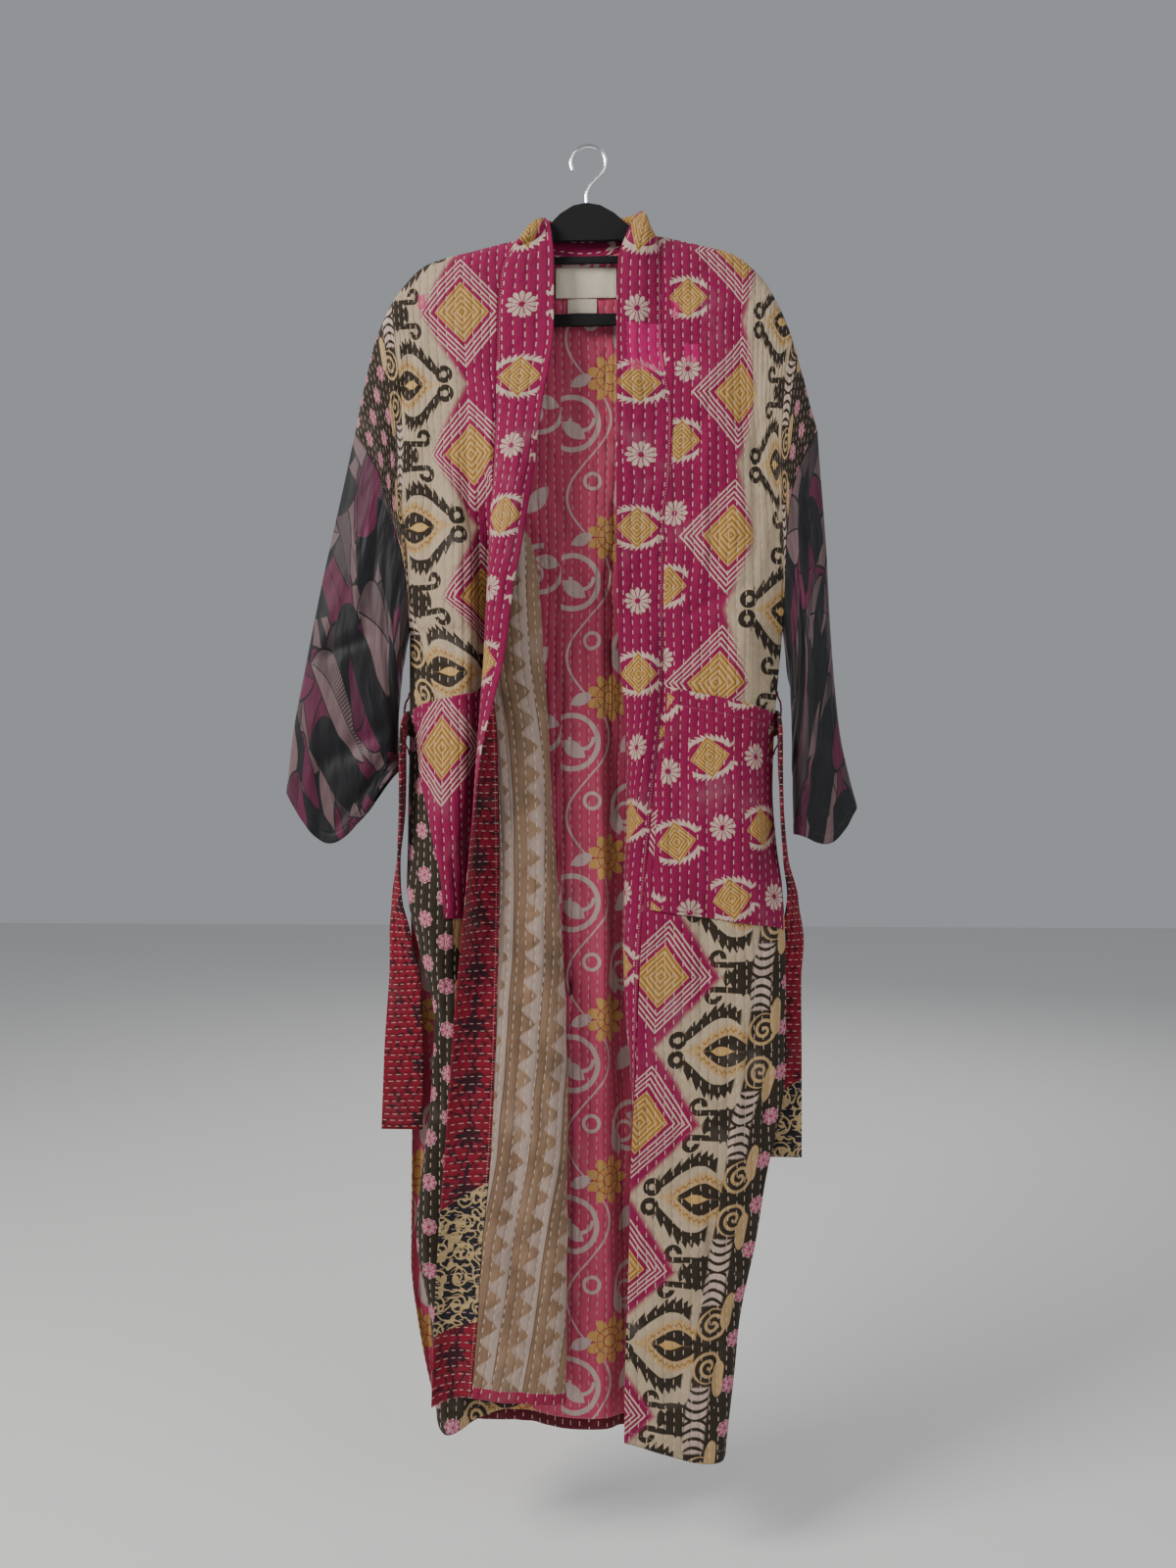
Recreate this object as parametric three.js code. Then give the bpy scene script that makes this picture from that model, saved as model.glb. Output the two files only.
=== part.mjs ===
// A patchwork kimono robe of two-layer running-stitched cotton, open at the front, on a velvet hanger.
// Millimetres, +Z up. The front faces -Y, and the origin is the inside top of the hanger's hook.
// "Left" and "right" are as the front is looked at: left has x below zero.

import * as THREE from 'three';

// Cloth walls and seams
const QUILT_WALL = 2;
const SLEEVE_WALL = 1.2;
const LABEL_WALL = 1;
const BELT_WALL = 3;
const SEAM_SETBACK = 0.16;
const LAY_GAP = 0.3;

// Main sizes of the garment
const UNDERARM_Z = -560;
const SLIT_TOP_Z = -820;
const BAND_WIDTH = 52;
const ARMHOLE_FRONT = 16;
const ARMHOLE_BACK = 14;

// Hanger and hook
const HANGER_THICK = 5;
const WIRE_RADIUS = 2;
const HOOK_RADIUS = 20;
const HANGER_PEAK = [-2, -65];

// A table is a list of rows with named columns
function table(names, rows) {
  return rows.map((row) => Object.fromEntries(names.map((name, i) => [name, row[i]])));
}

// A smooth curve through one column of a table, without overshoot, as a function of another column
function column(rows, name, by = 'z') {
  const sorted = [...rows].sort((a, b) => a[by] - b[by]);
  const xs = sorted.map((row) => row[by]);
  const ys = sorted.map((row) => row[name]);
  const slopes = xs.slice(1).map((x, i) => (ys[i + 1] - ys[i]) / (x - xs[i]));
  const tangents = xs.map((_, i) => {
    const before = slopes[Math.max(i - 1, 0)];
    const after = slopes[Math.min(i, slopes.length - 1)];
    return before * after <= 0 ? 0 : (2 * before * after) / (before + after);
  });
  return (x) => {
    const at = Math.min(Math.max(x, xs[0]), xs[xs.length - 1]);
    let i = 0;
    while (i < xs.length - 2 && at > xs[i + 1]) i += 1;
    const h = xs[i + 1] - xs[i];
    const t = (at - xs[i]) / h;
    const a = (1 + 2 * t) * (1 - t) * (1 - t);
    const b = t * (1 - t) * (1 - t) * h;
    const c = t * t * (3 - 2 * t);
    const d = t * t * (t - 1) * h;
    return a * ys[i] + b * tangents[i] + c * ys[i + 1] + d * tangents[i + 1];
  };
}

function mix(a, b, t) {
  return a + (b - a) * t;
}

function smooth(a, b, x) {
  const t = Math.min(Math.max((x - a) / (b - a), 0), 1);
  return t * t * (3 - 2 * t);
}

function vec(x, y, z) {
  return new THREE.Vector3(x, y, z);
}

// How full an armhole or sleeve is from its top (0) to its underarm (1)
function fullness(t) {
  const off = 2 * Math.min(Math.max(t, 0), 1) - 1;
  return Math.sqrt(Math.max(1 - off ** 4, 0));
}

// A wall of cloth over a grid of mid-surface points. Options: wrap joins the last column to the
// first, setbacks draw edges in by a seam's share, normals fix an edge's own facing, and from and to
// pick the rows that the wall is made of.
function clothWall(grid, thick, options = {}) {
  const { wrap = false, setback = {}, normals = {}, from = 0, to = grid.length - 1 } = options;
  const rows = to - from + 1;
  const cols = grid[0].length;
  const points = grid.map((row) => row.map((p) => p.clone()));
  for (let i = from; i <= to; i += 1) {
    if (setback.first) points[i][0].lerp(grid[i][1], setback.first / grid[i][0].distanceTo(grid[i][1]));
    if (setback.last) {
      const end = cols - 1;
      points[i][end].lerp(grid[i][end - 1], setback.last / grid[i][end].distanceTo(grid[i][end - 1]));
    }
  }
  for (let j = 0; j < cols; j += 1) {
    if (setback.top) {
      points[from][j].lerp(grid[from + 1][j], setback.top / grid[from][j].distanceTo(grid[from + 1][j]));
    }
    if (setback.bottom) {
      points[to][j].lerp(grid[to - 1][j], setback.bottom / grid[to][j].distanceTo(grid[to - 1][j]));
    }
  }
  const at = (i, j) => (wrap ? grid[i][(j + cols) % cols] : grid[i][Math.min(Math.max(j, 0), cols - 1)]);
  const position = [];
  for (const side of [1, -1]) {
    for (let i = from; i <= to; i += 1) {
      for (let j = 0; j < cols; j += 1) {
        const down = at(Math.min(i + 1, grid.length - 1), j).clone().sub(at(Math.max(i - 1, 0), j));
        const across = at(i, j + 1).clone().sub(at(i, j - 1));
        const normal = across.cross(down).normalize();
        let fixed = null;
        if (i === 0 && normals.top) fixed = normals.top(grid[0][j], j);
        if (j === cols - 1 && normals.last) fixed = normals.last(grid[i][j], i) ?? fixed;
        if (j === 0 && normals.first) fixed = normals.first(grid[i][j], i) ?? fixed;
        if (fixed) normal.copy(fixed);
        position.push(points[i][j].clone().addScaledVector(normal, side * thick * 0.5));
      }
    }
  }
  const triangles = [];
  const id = (side, i, j) => side * rows * cols + i * cols + (wrap ? j % cols : j);
  const quad = (a, b, c, d) => triangles.push(a, b, c, a, c, d);
  const spans = wrap ? cols : cols - 1;
  for (let i = 0; i < rows - 1; i += 1) {
    for (let j = 0; j < spans; j += 1) {
      quad(id(0, i, j), id(0, i, j + 1), id(0, i + 1, j + 1), id(0, i + 1, j));
      quad(id(1, i, j), id(1, i + 1, j), id(1, i + 1, j + 1), id(1, i, j + 1));
    }
    if (!wrap) {
      quad(id(0, i, 0), id(0, i + 1, 0), id(1, i + 1, 0), id(1, i, 0));
      quad(id(0, i, cols - 1), id(1, i, cols - 1), id(1, i + 1, cols - 1), id(0, i + 1, cols - 1));
    }
  }
  for (let j = 0; j < spans; j += 1) {
    quad(id(0, 0, j), id(1, 0, j), id(1, 0, j + 1), id(0, 0, j + 1));
    const end = rows - 1;
    quad(id(0, end, j), id(0, end, j + 1), id(1, end, j + 1), id(1, end, j));
  }
  const geometry = new THREE.BufferGeometry();
  const numbers = position.flatMap((p) => [p.x, p.y, p.z]);
  geometry.setAttribute('position', new THREE.Float32BufferAttribute(numbers, 3));
  geometry.setIndex(triangles);
  return geometry;
}

// Shoulder ridges, from the neck seam out over the hanger and down to the top of the armhole
const LEFT_RIDGE = table(['x', 'z'], [
  [-76, -105], [-130, -118], [-185, -133], [-220, -167], [-245, -218], [-260, -278], [-270, -328],
]);
const RIGHT_RIDGE = table(['x', 'z'], [
  [72, -103], [120, -114], [163, -126], [197, -153], [225, -202], [242, -253], [254, -303], [262, -330],
]);

// Armhole seams as seen from the front
const LEFT_ARMHOLE = table(['z', 'x'], [
  [-328, -270], [-350, -254], [-380, -238], [-432, -224], [-480, -211], [-530, -206], [UNDERARM_Z, -206],
]);
const RIGHT_ARMHOLE = table(['z', 'x'], [
  [-330, 262], [-355, 248], [-408, 231], [-450, 226], [-500, 224], [UNDERARM_Z, 222],
]);

// Seams between the front panels and the front bands, from the neck down
const LEFT_SEAM = table(['z', 'x', 'y'], [
  [-105, -76, 0], [-118, -86, -9], [-149, -100, -15], [-215, -104, -19], [-300, -104, -24], [-390, -106, -32],
  [-435, -108, -38], [-503, -109, -44], [-600, -106, -45], [-700, -99, -45], [-844, -97, -45],
  [-988, -100, -45], [-1151, -107, -44], [-1259, -117, -43], [-1337, -122, -42], [-1423, -129, -42],
]);
const RIGHT_SEAM = table(['z', 'x', 'y'], [
  [-103, 72, 0], [-116, 80, -9], [-149, 84, -15], [-230, 85, -20], [-320, 97, -25], [-392, 94, -27],
  [-433, 88, -28], [-621, 85, -29], [-760, 74, -29], [-887, 63, -29], [-960, 59, -29], [-1060, 55, -29],
  [-1154, 50, -29], [-1278, 47, -28], [-1403, 43, -27], [-1477, 42, -26],
]);

// Left front below the yoke, in plan: side or slit edge, outward fold, recess, roll line and lapel
const LEFT_FRONT = table(
  ['z', 'side', 'fold', 'roll', 'sideY', 'foldY', 'recessY', 'rollY', 'lapelY'], [
    [-330, -238, -150, -112, 0, -26, -25, -27, -30],
    [-380, -232, -142, -102, 0, -30, -25, -28, -33],
    [-424, -224, -137, -74, 0, -33, -17, -26, -38],
    [-469, -214, -136, -60, 0, -36, -13, -27, -43],
    [-560, -206, -135, -54, 0, -38, -12, -28, -46],
    [-660, -206, -137, -46, 0, -38, -12, -28, -46],
    [-780, -208, -146, -38, 0, -38, -12, -28, -46],
    [-850, -208, -152, -32, -8, -37, -12, -28, -46],
    [-920, -193, -155, -28, -16, -36, -12, -28, -46],
    [-1004, -174, -152, -25, -22, -34, -12, -28, -46],
    [-1099, -179, -150, -24, -20, -30, -12, -28, -45],
    [-1162, -187, -152, -24, -16, -29, -12, -28, -44],
    [-1249, -196, -156, -24, -14, -28, -12, -27, -43],
    [-1351, -179, -150, -24, -16, -28, -12, -27, -42],
    [-1460, -171, -146, -24, -18, -28, -12, -27, -42],
  ]);
const LEFT_HEM = table(['share', 'z'], [[0, -1461], [0.2, -1472], [0.6, -1440], [0.75, -1434], [1, -1424]]);

// Right front below the yoke: side or slit edge and the two rounds of the panel
const RIGHT_FRONT = table(['z', 'side', 'sideY', 'outerY', 'innerY'], [
  [-330, 236, 0, -26, -27], [-420, 230, 0, -32, -29], [-560, 222, 0, -36, -31], [-668, 213, 0, -37, -32],
  [-740, 211, 0, -38, -33], [-800, 215, 0, -38, -34], [-860, 222, -6, -37, -34], [-912, 224, -12, -36, -34],
  [-1046, 225, -16, -36, -33], [-1097, 220, -17, -36, -33], [-1175, 203, -18, -37, -33],
  [-1251, 190, -19, -37, -33], [-1346, 171, -20, -37, -32], [-1387, 167, -21, -37, -32],
  [-1500, 154, -22, -36, -31],
]);
const RIGHT_HEM = table(['share', 'z'], [[0, -1494], [0.3, -1497], [0.6, -1490], [1, -1479]]);

// Back panel in plan: the side or slit edges, a forward wave near the middle and its sharp inner turn
const BACK = table(['z', 'left', 'leftY', 'waveX', 'waveY', 'turnX', 'turnY', 'right', 'rightY', 'fullY'], [
  [-330, -238, 0, -22, 14, 10, 15, 236, 0, 17], [-420, -226, 0, -22, 11, 10, 13, 230, 0, 19],
  [-560, -206, 0, -22, 9, 11, 11, 222, 0, 22], [-668, -206, 0, -20, 7, 11, 9, 213, 0, 22],
  [-740, -207, 0, -20, 6, 12, 8, 211, 0, 22], [-800, -207, 0, -20, 5, 13, 8, 214, 0, 22],
  [-860, -208, 8, -18, 4, 15, 7, 217, 8, 23], [-912, -207, 12, -17, 3, 17, 6, 216, 12, 23],
  [-1046, -206, 14, -15, 2, 20, 5, 212, 14, 24], [-1175, -207, 15, -13, 1, 23, 5, 196, 15, 24],
  [-1290, -208, 15, -12, 1, 25, 5, 181, 15, 24], [-1375, -198, 15, -12, 1, 26, 5, 168, 15, 24],
  [-1485, -174, 14, -12, 1, 26, 5, 150, 14, 24],
]);
const BACK_HEM = table(['share', 'z'], [[0, -1474], [0.3, -1482], [0.5, -1479], [0.7, -1486], [1, -1480]]);

// Soft creases of the cloth, each a line seen from the front with a depth toward the wall
const CREASES = table(['panel', 'x1', 'z1', 'x2', 'z2', 'depth', 'width'], [
  ['left_sleeve', -205, -655, -318, -720, 6, 12],
  ['left_sleeve', -262, -350, -300, -620, 4, 14],
  ['right_sleeve', 232, -600, 296, -730, 5, 12],
  ['right_sleeve', 250, -360, 262, -560, 5, 12],
  ['right_front', 172, -150, 190, -520, 4, 13],
  ['right_front', 150, -620, 128, -1180, 4, 18],
  ['left_front', -178, -230, -186, -560, 3, 12],
  ['back', -120, -260, -140, -1400, -6, 22],
  ['back', 120, -260, 110, -1400, -6, 26],
]);

function creaseDepth(panel, x, z) {
  let depth = 0;
  for (const c of CREASES) {
    if (c.panel !== panel) continue;
    const dx = c.x2 - c.x1;
    const dz = c.z2 - c.z1;
    const along = ((x - c.x1) * dx + (z - c.z1) * dz) / (dx * dx + dz * dz);
    if (along < 0 || along > 1) continue;
    const off = ((x - c.x1) * dz - (z - c.z1) * dx) / Math.hypot(dx, dz);
    depth += c.depth * Math.sin(Math.PI * along) * Math.exp(-((off / c.width) ** 2));
  }
  return depth;
}

// A point on a section: a curve through the plan points at one height
function onSection(points, share, z) {
  const curve = new THREE.CatmullRomCurve3(points.map(([x, y]) => vec(x, y, 0)), false, 'centripetal');
  const p = curve.getPoint(share);
  return vec(p.x, p.y, z);
}

const leftFront = Object.fromEntries(
  ['side', 'fold', 'roll', 'sideY', 'foldY', 'recessY', 'rollY', 'lapelY']
    .map((n) => [n, column(LEFT_FRONT, n)]));
const rightFront = Object.fromEntries(
  ['side', 'sideY', 'outerY', 'innerY'].map((n) => [n, column(RIGHT_FRONT, n)]));
const back = Object.fromEntries(
  ['left', 'leftY', 'waveX', 'waveY', 'turnX', 'turnY', 'right', 'rightY', 'fullY']
    .map((n) => [n, column(BACK, n)]));
const leftSeamX = column(LEFT_SEAM, 'x');
const leftSeamY = column(LEFT_SEAM, 'y');
const rightSeamX = column(RIGHT_SEAM, 'x');
const rightSeamY = column(RIGHT_SEAM, 'y');

const SIDE_TURN = 4;

function leftFrontSection(share, z) {
  const side = leftFront.side(z);
  const fold = leftFront.fold(z);
  const roll = leftFront.roll(z);
  const seam = leftSeamX(z);
  const edgeY = leftFront.sideY(z);
  const foldY = leftFront.foldY(z);
  return onSection([
    [side, edgeY],
    [side + SIDE_TURN, edgeY - SIDE_TURN - 1],
    [mix(side, fold, 0.5), mix(edgeY, foldY, 0.62) - 4],
    [fold, foldY],
    [mix(fold, roll, 0.18), mix(foldY, leftFront.recessY(z), 0.6)],
    [mix(fold, roll, 0.5), leftFront.recessY(z)],
    [mix(fold, roll, 0.86), mix(leftFront.recessY(z), leftFront.rollY(z), 0.3)],
    [roll, leftFront.rollY(z)],
    [mix(roll, seam, 0.25), mix(leftFront.rollY(z), leftFront.lapelY(z), 0.85)],
    [mix(roll, seam, 0.6), leftFront.lapelY(z)],
    [seam, leftSeamY(z)],
  ], share, z);
}

function rightFrontSection(share, z) {
  const side = rightFront.side(z);
  const seam = rightSeamX(z);
  const edgeY = rightFront.sideY(z);
  return onSection([
    [side, edgeY],
    [side - SIDE_TURN, edgeY - SIDE_TURN - 1],
    [mix(side, seam, 0.22), mix(edgeY, rightFront.outerY(z), 0.8)],
    [mix(side, seam, 0.45), rightFront.outerY(z)],
    [mix(side, seam, 0.75), rightFront.innerY(z)],
    [seam, rightSeamY(z)],
  ], share, z);
}

function backSection(share, z) {
  const left = back.left(z);
  const right = back.right(z);
  const full = back.fullY(z);
  return onSection([
    [left, back.leftY(z)],
    [left + SIDE_TURN, back.leftY(z) + SIDE_TURN + 1],
    [left + 45, full - 5],
    [left + 95, full],
    [back.waveX(z) - 22, mix(back.waveY(z), full, 0.35)],
    [back.waveX(z), back.waveY(z)],
    [back.turnX(z), back.turnY(z)],
    [back.turnX(z) + 14, full - 1],
    [back.turnX(z) + 50, full + 1],
    [right - 45, full - 4],
    [right - SIDE_TURN, back.rightY(z) + SIDE_TURN + 1],
    [right, back.rightY(z)],
  ], share, z);
}

// The yoke hangs from the ridge: near the top it is a plain sheet between the armhole and the
// inner edge, and by the underarm it has taken the section's folds.
function yokePoint(share, drop, armhole, inner, ridge, section, foldStart, foldEnd) {
  const edge = armhole(drop);
  const seam = inner(drop);
  const topEdge = armhole(0);
  const topSeam = inner(0);
  const onRidge = ridge(mix(topEdge.x, topSeam.x, share));
  const lift = onRidge - mix(topEdge.z, topSeam.z, share);
  const sheet = edge.clone().lerp(seam, share);
  sheet.z += lift * (1 - drop);
  const folded = section(share, sheet.z);
  folded.add(edge.clone().sub(section(0, edge.z)).multiplyScalar((1 - share) ** 3));
  return sheet.lerp(vec(folded.x, folded.y, sheet.z), smooth(foldStart, foldEnd, drop));
}

function armholePoint(armTable, face, drop) {
  const top = armTable[0].z;
  const z = mix(top, UNDERARM_Z, drop);
  const depth = face < 0 ? ARMHOLE_FRONT : ARMHOLE_BACK;
  return vec(column(armTable, 'x')(z), face * depth * fullness(drop), z);
}

function seamPoint(seamTable, drop) {
  const top = seamTable[0].z;
  const z = mix(top, UNDERARM_Z, drop);
  return vec(column(seamTable, 'x')(z), column(seamTable, 'y')(z), z);
}

// Rows of a panel: drops through the yoke, then shares of the way from the underarm to the hem
const YOKE_DROPS = [0, 0.012, 0.045, 0.12, 0.25, 0.4, 0.55, 0.68, 0.8, 0.9, 0.96, 0.99];
const SKIRT_LEVELS = [-560, -620, -690, -760, -822, -880, -940, -1004, -1080, -1162, -1249, -1351];

function panelGrid(shares, yoke, section, hem, panel) {
  const rows = YOKE_DROPS.map((drop) => shares.map((share) => yoke(share, drop)));
  for (const z of SKIRT_LEVELS) rows.push(shares.map((share) => section(share, z)));
  rows.push(shares.map((share) => section(share, hem(share))));
  for (const row of rows.slice(1)) {
    row.forEach((p, j) => {
      const inside = Math.sin(Math.PI * shares[j]);
      p.y += creaseDepth(panel, p.x, p.z) * Math.min(1, inside * 4);
    });
  }
  return rows;
}

// The facing of a seam that both cloths share, square to the seam and to the front-back direction
function seamFacing(before, after, outward) {
  const along = after.clone().sub(before);
  const facing = along.cross(vec(0, 1, 0)).normalize();
  return facing.x * outward.x + facing.z * outward.z < 0 ? facing.negate() : facing;
}

const LEFT_SHARES = [0, 0.04, 0.1, 0.16, 0.21, 0.25, 0.28, 0.31, 0.34, 0.38, 0.44, 0.5, 0.56, 0.62, 0.67,
  0.71, 0.75, 0.8, 0.87, 0.94, 1];
const RIGHT_SHARES = [0, 0.06, 0.14, 0.22, 0.3, 0.4, 0.5, 0.6, 0.7, 0.8, 0.9, 0.96, 1];
const NECK_SHARES = [0.3647, 0.375, 0.4, 0.45, 0.5, 0.545, 0.59, 0.632, 0.6429];
const BACK_SHARES = [0, 0.035, 0.075, 0.12, 0.17, 0.23, 0.29, 0.33, ...NECK_SHARES, 0.68, 0.73, 0.78, 0.83,
  0.88, 0.93, 0.965, 1];

const leftRidgeZ = column(LEFT_RIDGE, 'z', 'x');
const rightRidgeZ = column(RIGHT_RIDGE, 'z', 'x');

const leftFrontGrid = panelGrid(
  LEFT_SHARES,
  (share, drop) => yokePoint(
    share, drop, (d) => armholePoint(LEFT_ARMHOLE, -1, d), (d) => seamPoint(LEFT_SEAM, d),
    leftRidgeZ, leftFrontSection, 0.3, 0.85),
  leftFrontSection, column(LEFT_HEM, 'z', 'share'), 'left_front');

const rightFrontGrid = panelGrid(
  RIGHT_SHARES,
  (share, drop) => yokePoint(
    share, drop, (d) => armholePoint(RIGHT_ARMHOLE, -1, d), (d) => seamPoint(RIGHT_SEAM, d),
    rightRidgeZ, rightFrontSection, 0.3, 0.9),
  rightFrontSection, column(RIGHT_HEM, 'z', 'share'), 'right_front');

// The back's top edge runs along the left ridge, dips round the back of the neck and on along the right ridge
const NECK_DIP = 22;
const NECK_BACK_Y = 9;
const RIDGE_DEPTH = 5.4;
const RIDGE_DROP = 0.02;
const LEFT_NECK_X = LEFT_RIDGE[0].x;
const RIGHT_NECK_X = RIGHT_RIDGE[0].x;

function backTop(x) {
  if (x < LEFT_NECK_X) return vec(x, 0, leftRidgeZ(x));
  if (x > RIGHT_NECK_X) return vec(x, 0, rightRidgeZ(x));
  const across = (x - LEFT_NECK_X) / (RIGHT_NECK_X - LEFT_NECK_X);
  const level = mix(LEFT_RIDGE[0].z, RIGHT_RIDGE[0].z, across);
  const round = Math.sin(Math.PI * across);
  return vec(x, NECK_BACK_Y * round ** 0.3, level - NECK_DIP * round);
}

const leftTop = armholePoint(LEFT_ARMHOLE, 1, 0);
const rightTop = armholePoint(RIGHT_ARMHOLE, 1, 0);

function backYoke(share, drop) {
  const leftEdge = armholePoint(LEFT_ARMHOLE, 1, drop);
  const rightEdge = armholePoint(RIGHT_ARMHOLE, 1, drop);
  const top = backTop(mix(leftTop.x, rightTop.x, share));
  const level = mix(top.z, UNDERARM_Z, drop);
  const folded = backSection(share, level);
  const overHanger = RIDGE_DEPTH * Math.sqrt(Math.min(1, drop / RIDGE_DROP));
  const depth = Math.max(top.y, overHanger, mix(top.y, folded.y, smooth(0, 0.25, drop)));
  const near = Math.max(1 - share * 12, 1 - (1 - share) * 12, 0);
  const edge = share < 0.5 ? leftEdge : rightEdge;
  const shift = mix(leftEdge.x - back.left(level), rightEdge.x - back.right(level), share);
  const x = mix(mix(leftEdge.x, rightEdge.x, share), folded.x + shift, smooth(0.3, 0.9, drop));
  return vec(x, drop === 0 ? top.y : mix(depth, edge.y, near), level);
}

const backGrid = panelGrid(BACK_SHARES, backYoke, backSection, column(BACK_HEM, 'z', 'share'), 'back');

const materials = {
  magenta: new THREE.MeshStandardMaterial({ color: 0x84143c, roughness: 0.9 }),
  pink: new THREE.MeshStandardMaterial({ color: 0x9c3350, roughness: 0.9 }),
  crimson: new THREE.MeshStandardMaterial({ color: 0x6e0f1c, roughness: 0.85 }),
  mauve: new THREE.MeshStandardMaterial({ color: 0x5a3a44, roughness: 0.6 }),
  label: new THREE.MeshStandardMaterial({ color: 0xe6dcc8, roughness: 0.7 }),
  velvet: new THREE.MeshStandardMaterial({ color: 0x0b0b0c, roughness: 1 }),
  chrome: new THREE.MeshStandardMaterial({ color: 0xc9cbcd, roughness: 0.2, metalness: 1 }),
};

const kimono = new THREE.Group();

function add(name, geometry, material) {
  const mesh = new THREE.Mesh(geometry, material);
  mesh.name = name;
  kimono.add(mesh);
  return mesh;
}

// Edge facings along the ridge and the side seams of a panel
function panelEdges(grid, sideColumn, outward) {
  return {
    top: (p, j) => {
      if (Math.abs(p.y) > 0.5) return null;
      const before = grid[0][Math.max(j - 1, 0)];
      const after = grid[0][Math.min(j + 1, grid[0].length - 1)];
      return seamFacing(before, after, vec(0, 0, 1));
    },
    side: (p, i) => {
      if (p.z > UNDERARM_Z + 1 || p.z < SLIT_TOP_Z - 30) return null;
      return seamFacing(grid[i - 1][sideColumn], grid[i + 1][sideColumn], outward);
    },
  };
}

// Panels and bands are solids in three lengths, cut at the underarm and below the pockets, so that the
// collision of each can follow its curve
const UNDERARM_ROW = YOKE_DROPS.length;
const POCKET_ROW = UNDERARM_ROW + SKIRT_LEVELS.indexOf(-880);
const HEM_ROW = UNDERARM_ROW + SKIRT_LEVELS.length;
const LENGTHS = [
  ['yoke', 0, UNDERARM_ROW], ['waist', UNDERARM_ROW, POCKET_ROW], ['skirt', POCKET_ROW, HEM_ROW],
];

function addInLengths(name, grid, { setback, normals }, material) {
  for (const [length, from, to] of LENGTHS) {
    const ends = { top: SEAM_SETBACK, bottom: to < HEM_ROW && SEAM_SETBACK };
    add(`${name}_${length}`, clothWall(grid, QUILT_WALL, {
      setback: { ...setback, ...ends }, normals, from, to,
    }), material);
  }
}

const leftEdges = panelEdges(leftFrontGrid, 0, vec(-1, 0, 0));
addInLengths('front_left', leftFrontGrid, {
  setback: { first: SEAM_SETBACK, last: SEAM_SETBACK },
  normals: { top: leftEdges.top, first: leftEdges.side },
}, materials.magenta);

const rightEdges = panelEdges(rightFrontGrid, 0, vec(1, 0, 0));
addInLengths('front_right', rightFrontGrid, {
  setback: { first: SEAM_SETBACK, last: SEAM_SETBACK },
  normals: { top: rightEdges.top, first: rightEdges.side },
}, materials.magenta);

const backLeftEdges = panelEdges(backGrid, 0, vec(-1, 0, 0));
const backRightEdges = panelEdges(backGrid, BACK_SHARES.length - 1, vec(1, 0, 0));
addInLengths('back_panel', backGrid, {
  setback: { first: SEAM_SETBACK, last: SEAM_SETBACK },
  normals: { top: backLeftEdges.top, first: backLeftEdges.side, last: backRightEdges.side },
}, materials.pink);

// Front bands, from the neck down: where the free edge lies for each height of the seam, and how
// far the band laps past the panel's edge where it folds back over it
const LEFT_BAND = table(['z', 'x', 'y', 'freeZ', 'lap'], [
  [-105, -49, -1, -82, 0], [-118, -43, -11, -94, 0], [-149, -38, -18, -140, 0], [-215, -38, -22, -214, 0],
  [-300, -50, -29, -300, -0.2], [-345, -56, -33, -345, -0.9], [-380, -59, -38, -380, -1.9],
  [-410, -63, -45, -410, -2.4],
  [-477, -72, -62, -477, -2.2], [-511, -78, -70, -511, -2.3], [-593, -88, -77, -593, -2.3],
  [-650, -101, -81, -650, -2], [-696, -112, -82, -696, -1.7], [-792, -124, -79, -792, -1.5],
  [-859, -131, -74, -859, -1.2], [-992, -145, -64, -992, -0.7], [-1151, -158, -52, -1151, -0.2],
  [-1268, -167, -48, -1268, 0], [-1351, -171, -47, -1351, 0], [-1430, -174, -46, -1440, 0],
]);
const RIGHT_BAND = table(['z', 'x', 'y', 'freeZ', 'lap'], [
  [-103, 60, -1, -76, 0], [-116, 51, -11, -92, 0], [-149, 35, -18, -140, 0], [-230, 33, -26, -228, 0],
  [-469, 33, -35, -469, 0], [-558, 35, -33, -558, 0], [-668, 43, -20, -668, 0.3], [-760, 46, -6, -760, 0.7],
  [-887, 50, 6, -887, 1.2], [-960, 58, 5, -960, 1.7], [-1060, 74, -5, -1060, 2.2],
  [-1154, 86, -11, -1154, 2.4], [-1278, 90, -12, -1278, 2.4], [-1477, 88, -12, -1474, 2.4],
]);
const BAND_SHARES = [0, 0.2, 0.4, 0.6, 0.8, 1];
const NECK_RISE = 0.7;

// One row of a band: an arc of the band's true width between its seam and its free edge
function bandRow(seam, free, outer) {
  const chord = free.clone().sub(seam);
  const reach = chord.length();
  const rise = Math.sqrt(Math.max(3 * reach * (BAND_WIDTH - reach), 0) / 8);
  const bow = chord.clone().cross(vec(0, 0, 1)).normalize().multiplyScalar(outer * rise);
  return BAND_SHARES.map((share) => seam.clone().lerp(free, share)
    .addScaledVector(bow, 4 * share * (1 - share)));
}

function bandGrid(panel, bandTable, outer) {
  const free = Object.fromEntries(['x', 'y', 'freeZ', 'lap'].map((n) => [n, column(bandTable, n)]));
  return panel.map((row) => {
    const seam = row[row.length - 1].clone();
    const edge = vec(free.x(seam.z), free.y(seam.z), free.freeZ(seam.z));
    seam.y += free.lap(seam.z);
    seam.z += NECK_RISE * smooth(-140, -122, seam.z);
    return bandRow(seam, edge, outer);
  });
}

const bandSetback = { first: 0.8 };
const leftBandGrid = bandGrid(leftFrontGrid, LEFT_BAND, 1);
const rightBandGrid = bandGrid(rightFrontGrid, RIGHT_BAND, -1);
addInLengths('band_left', leftBandGrid, { setback: bandSetback }, materials.crimson);
addInLengths('band_right', rightBandGrid, { setback: bandSetback }, materials.magenta);

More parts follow.
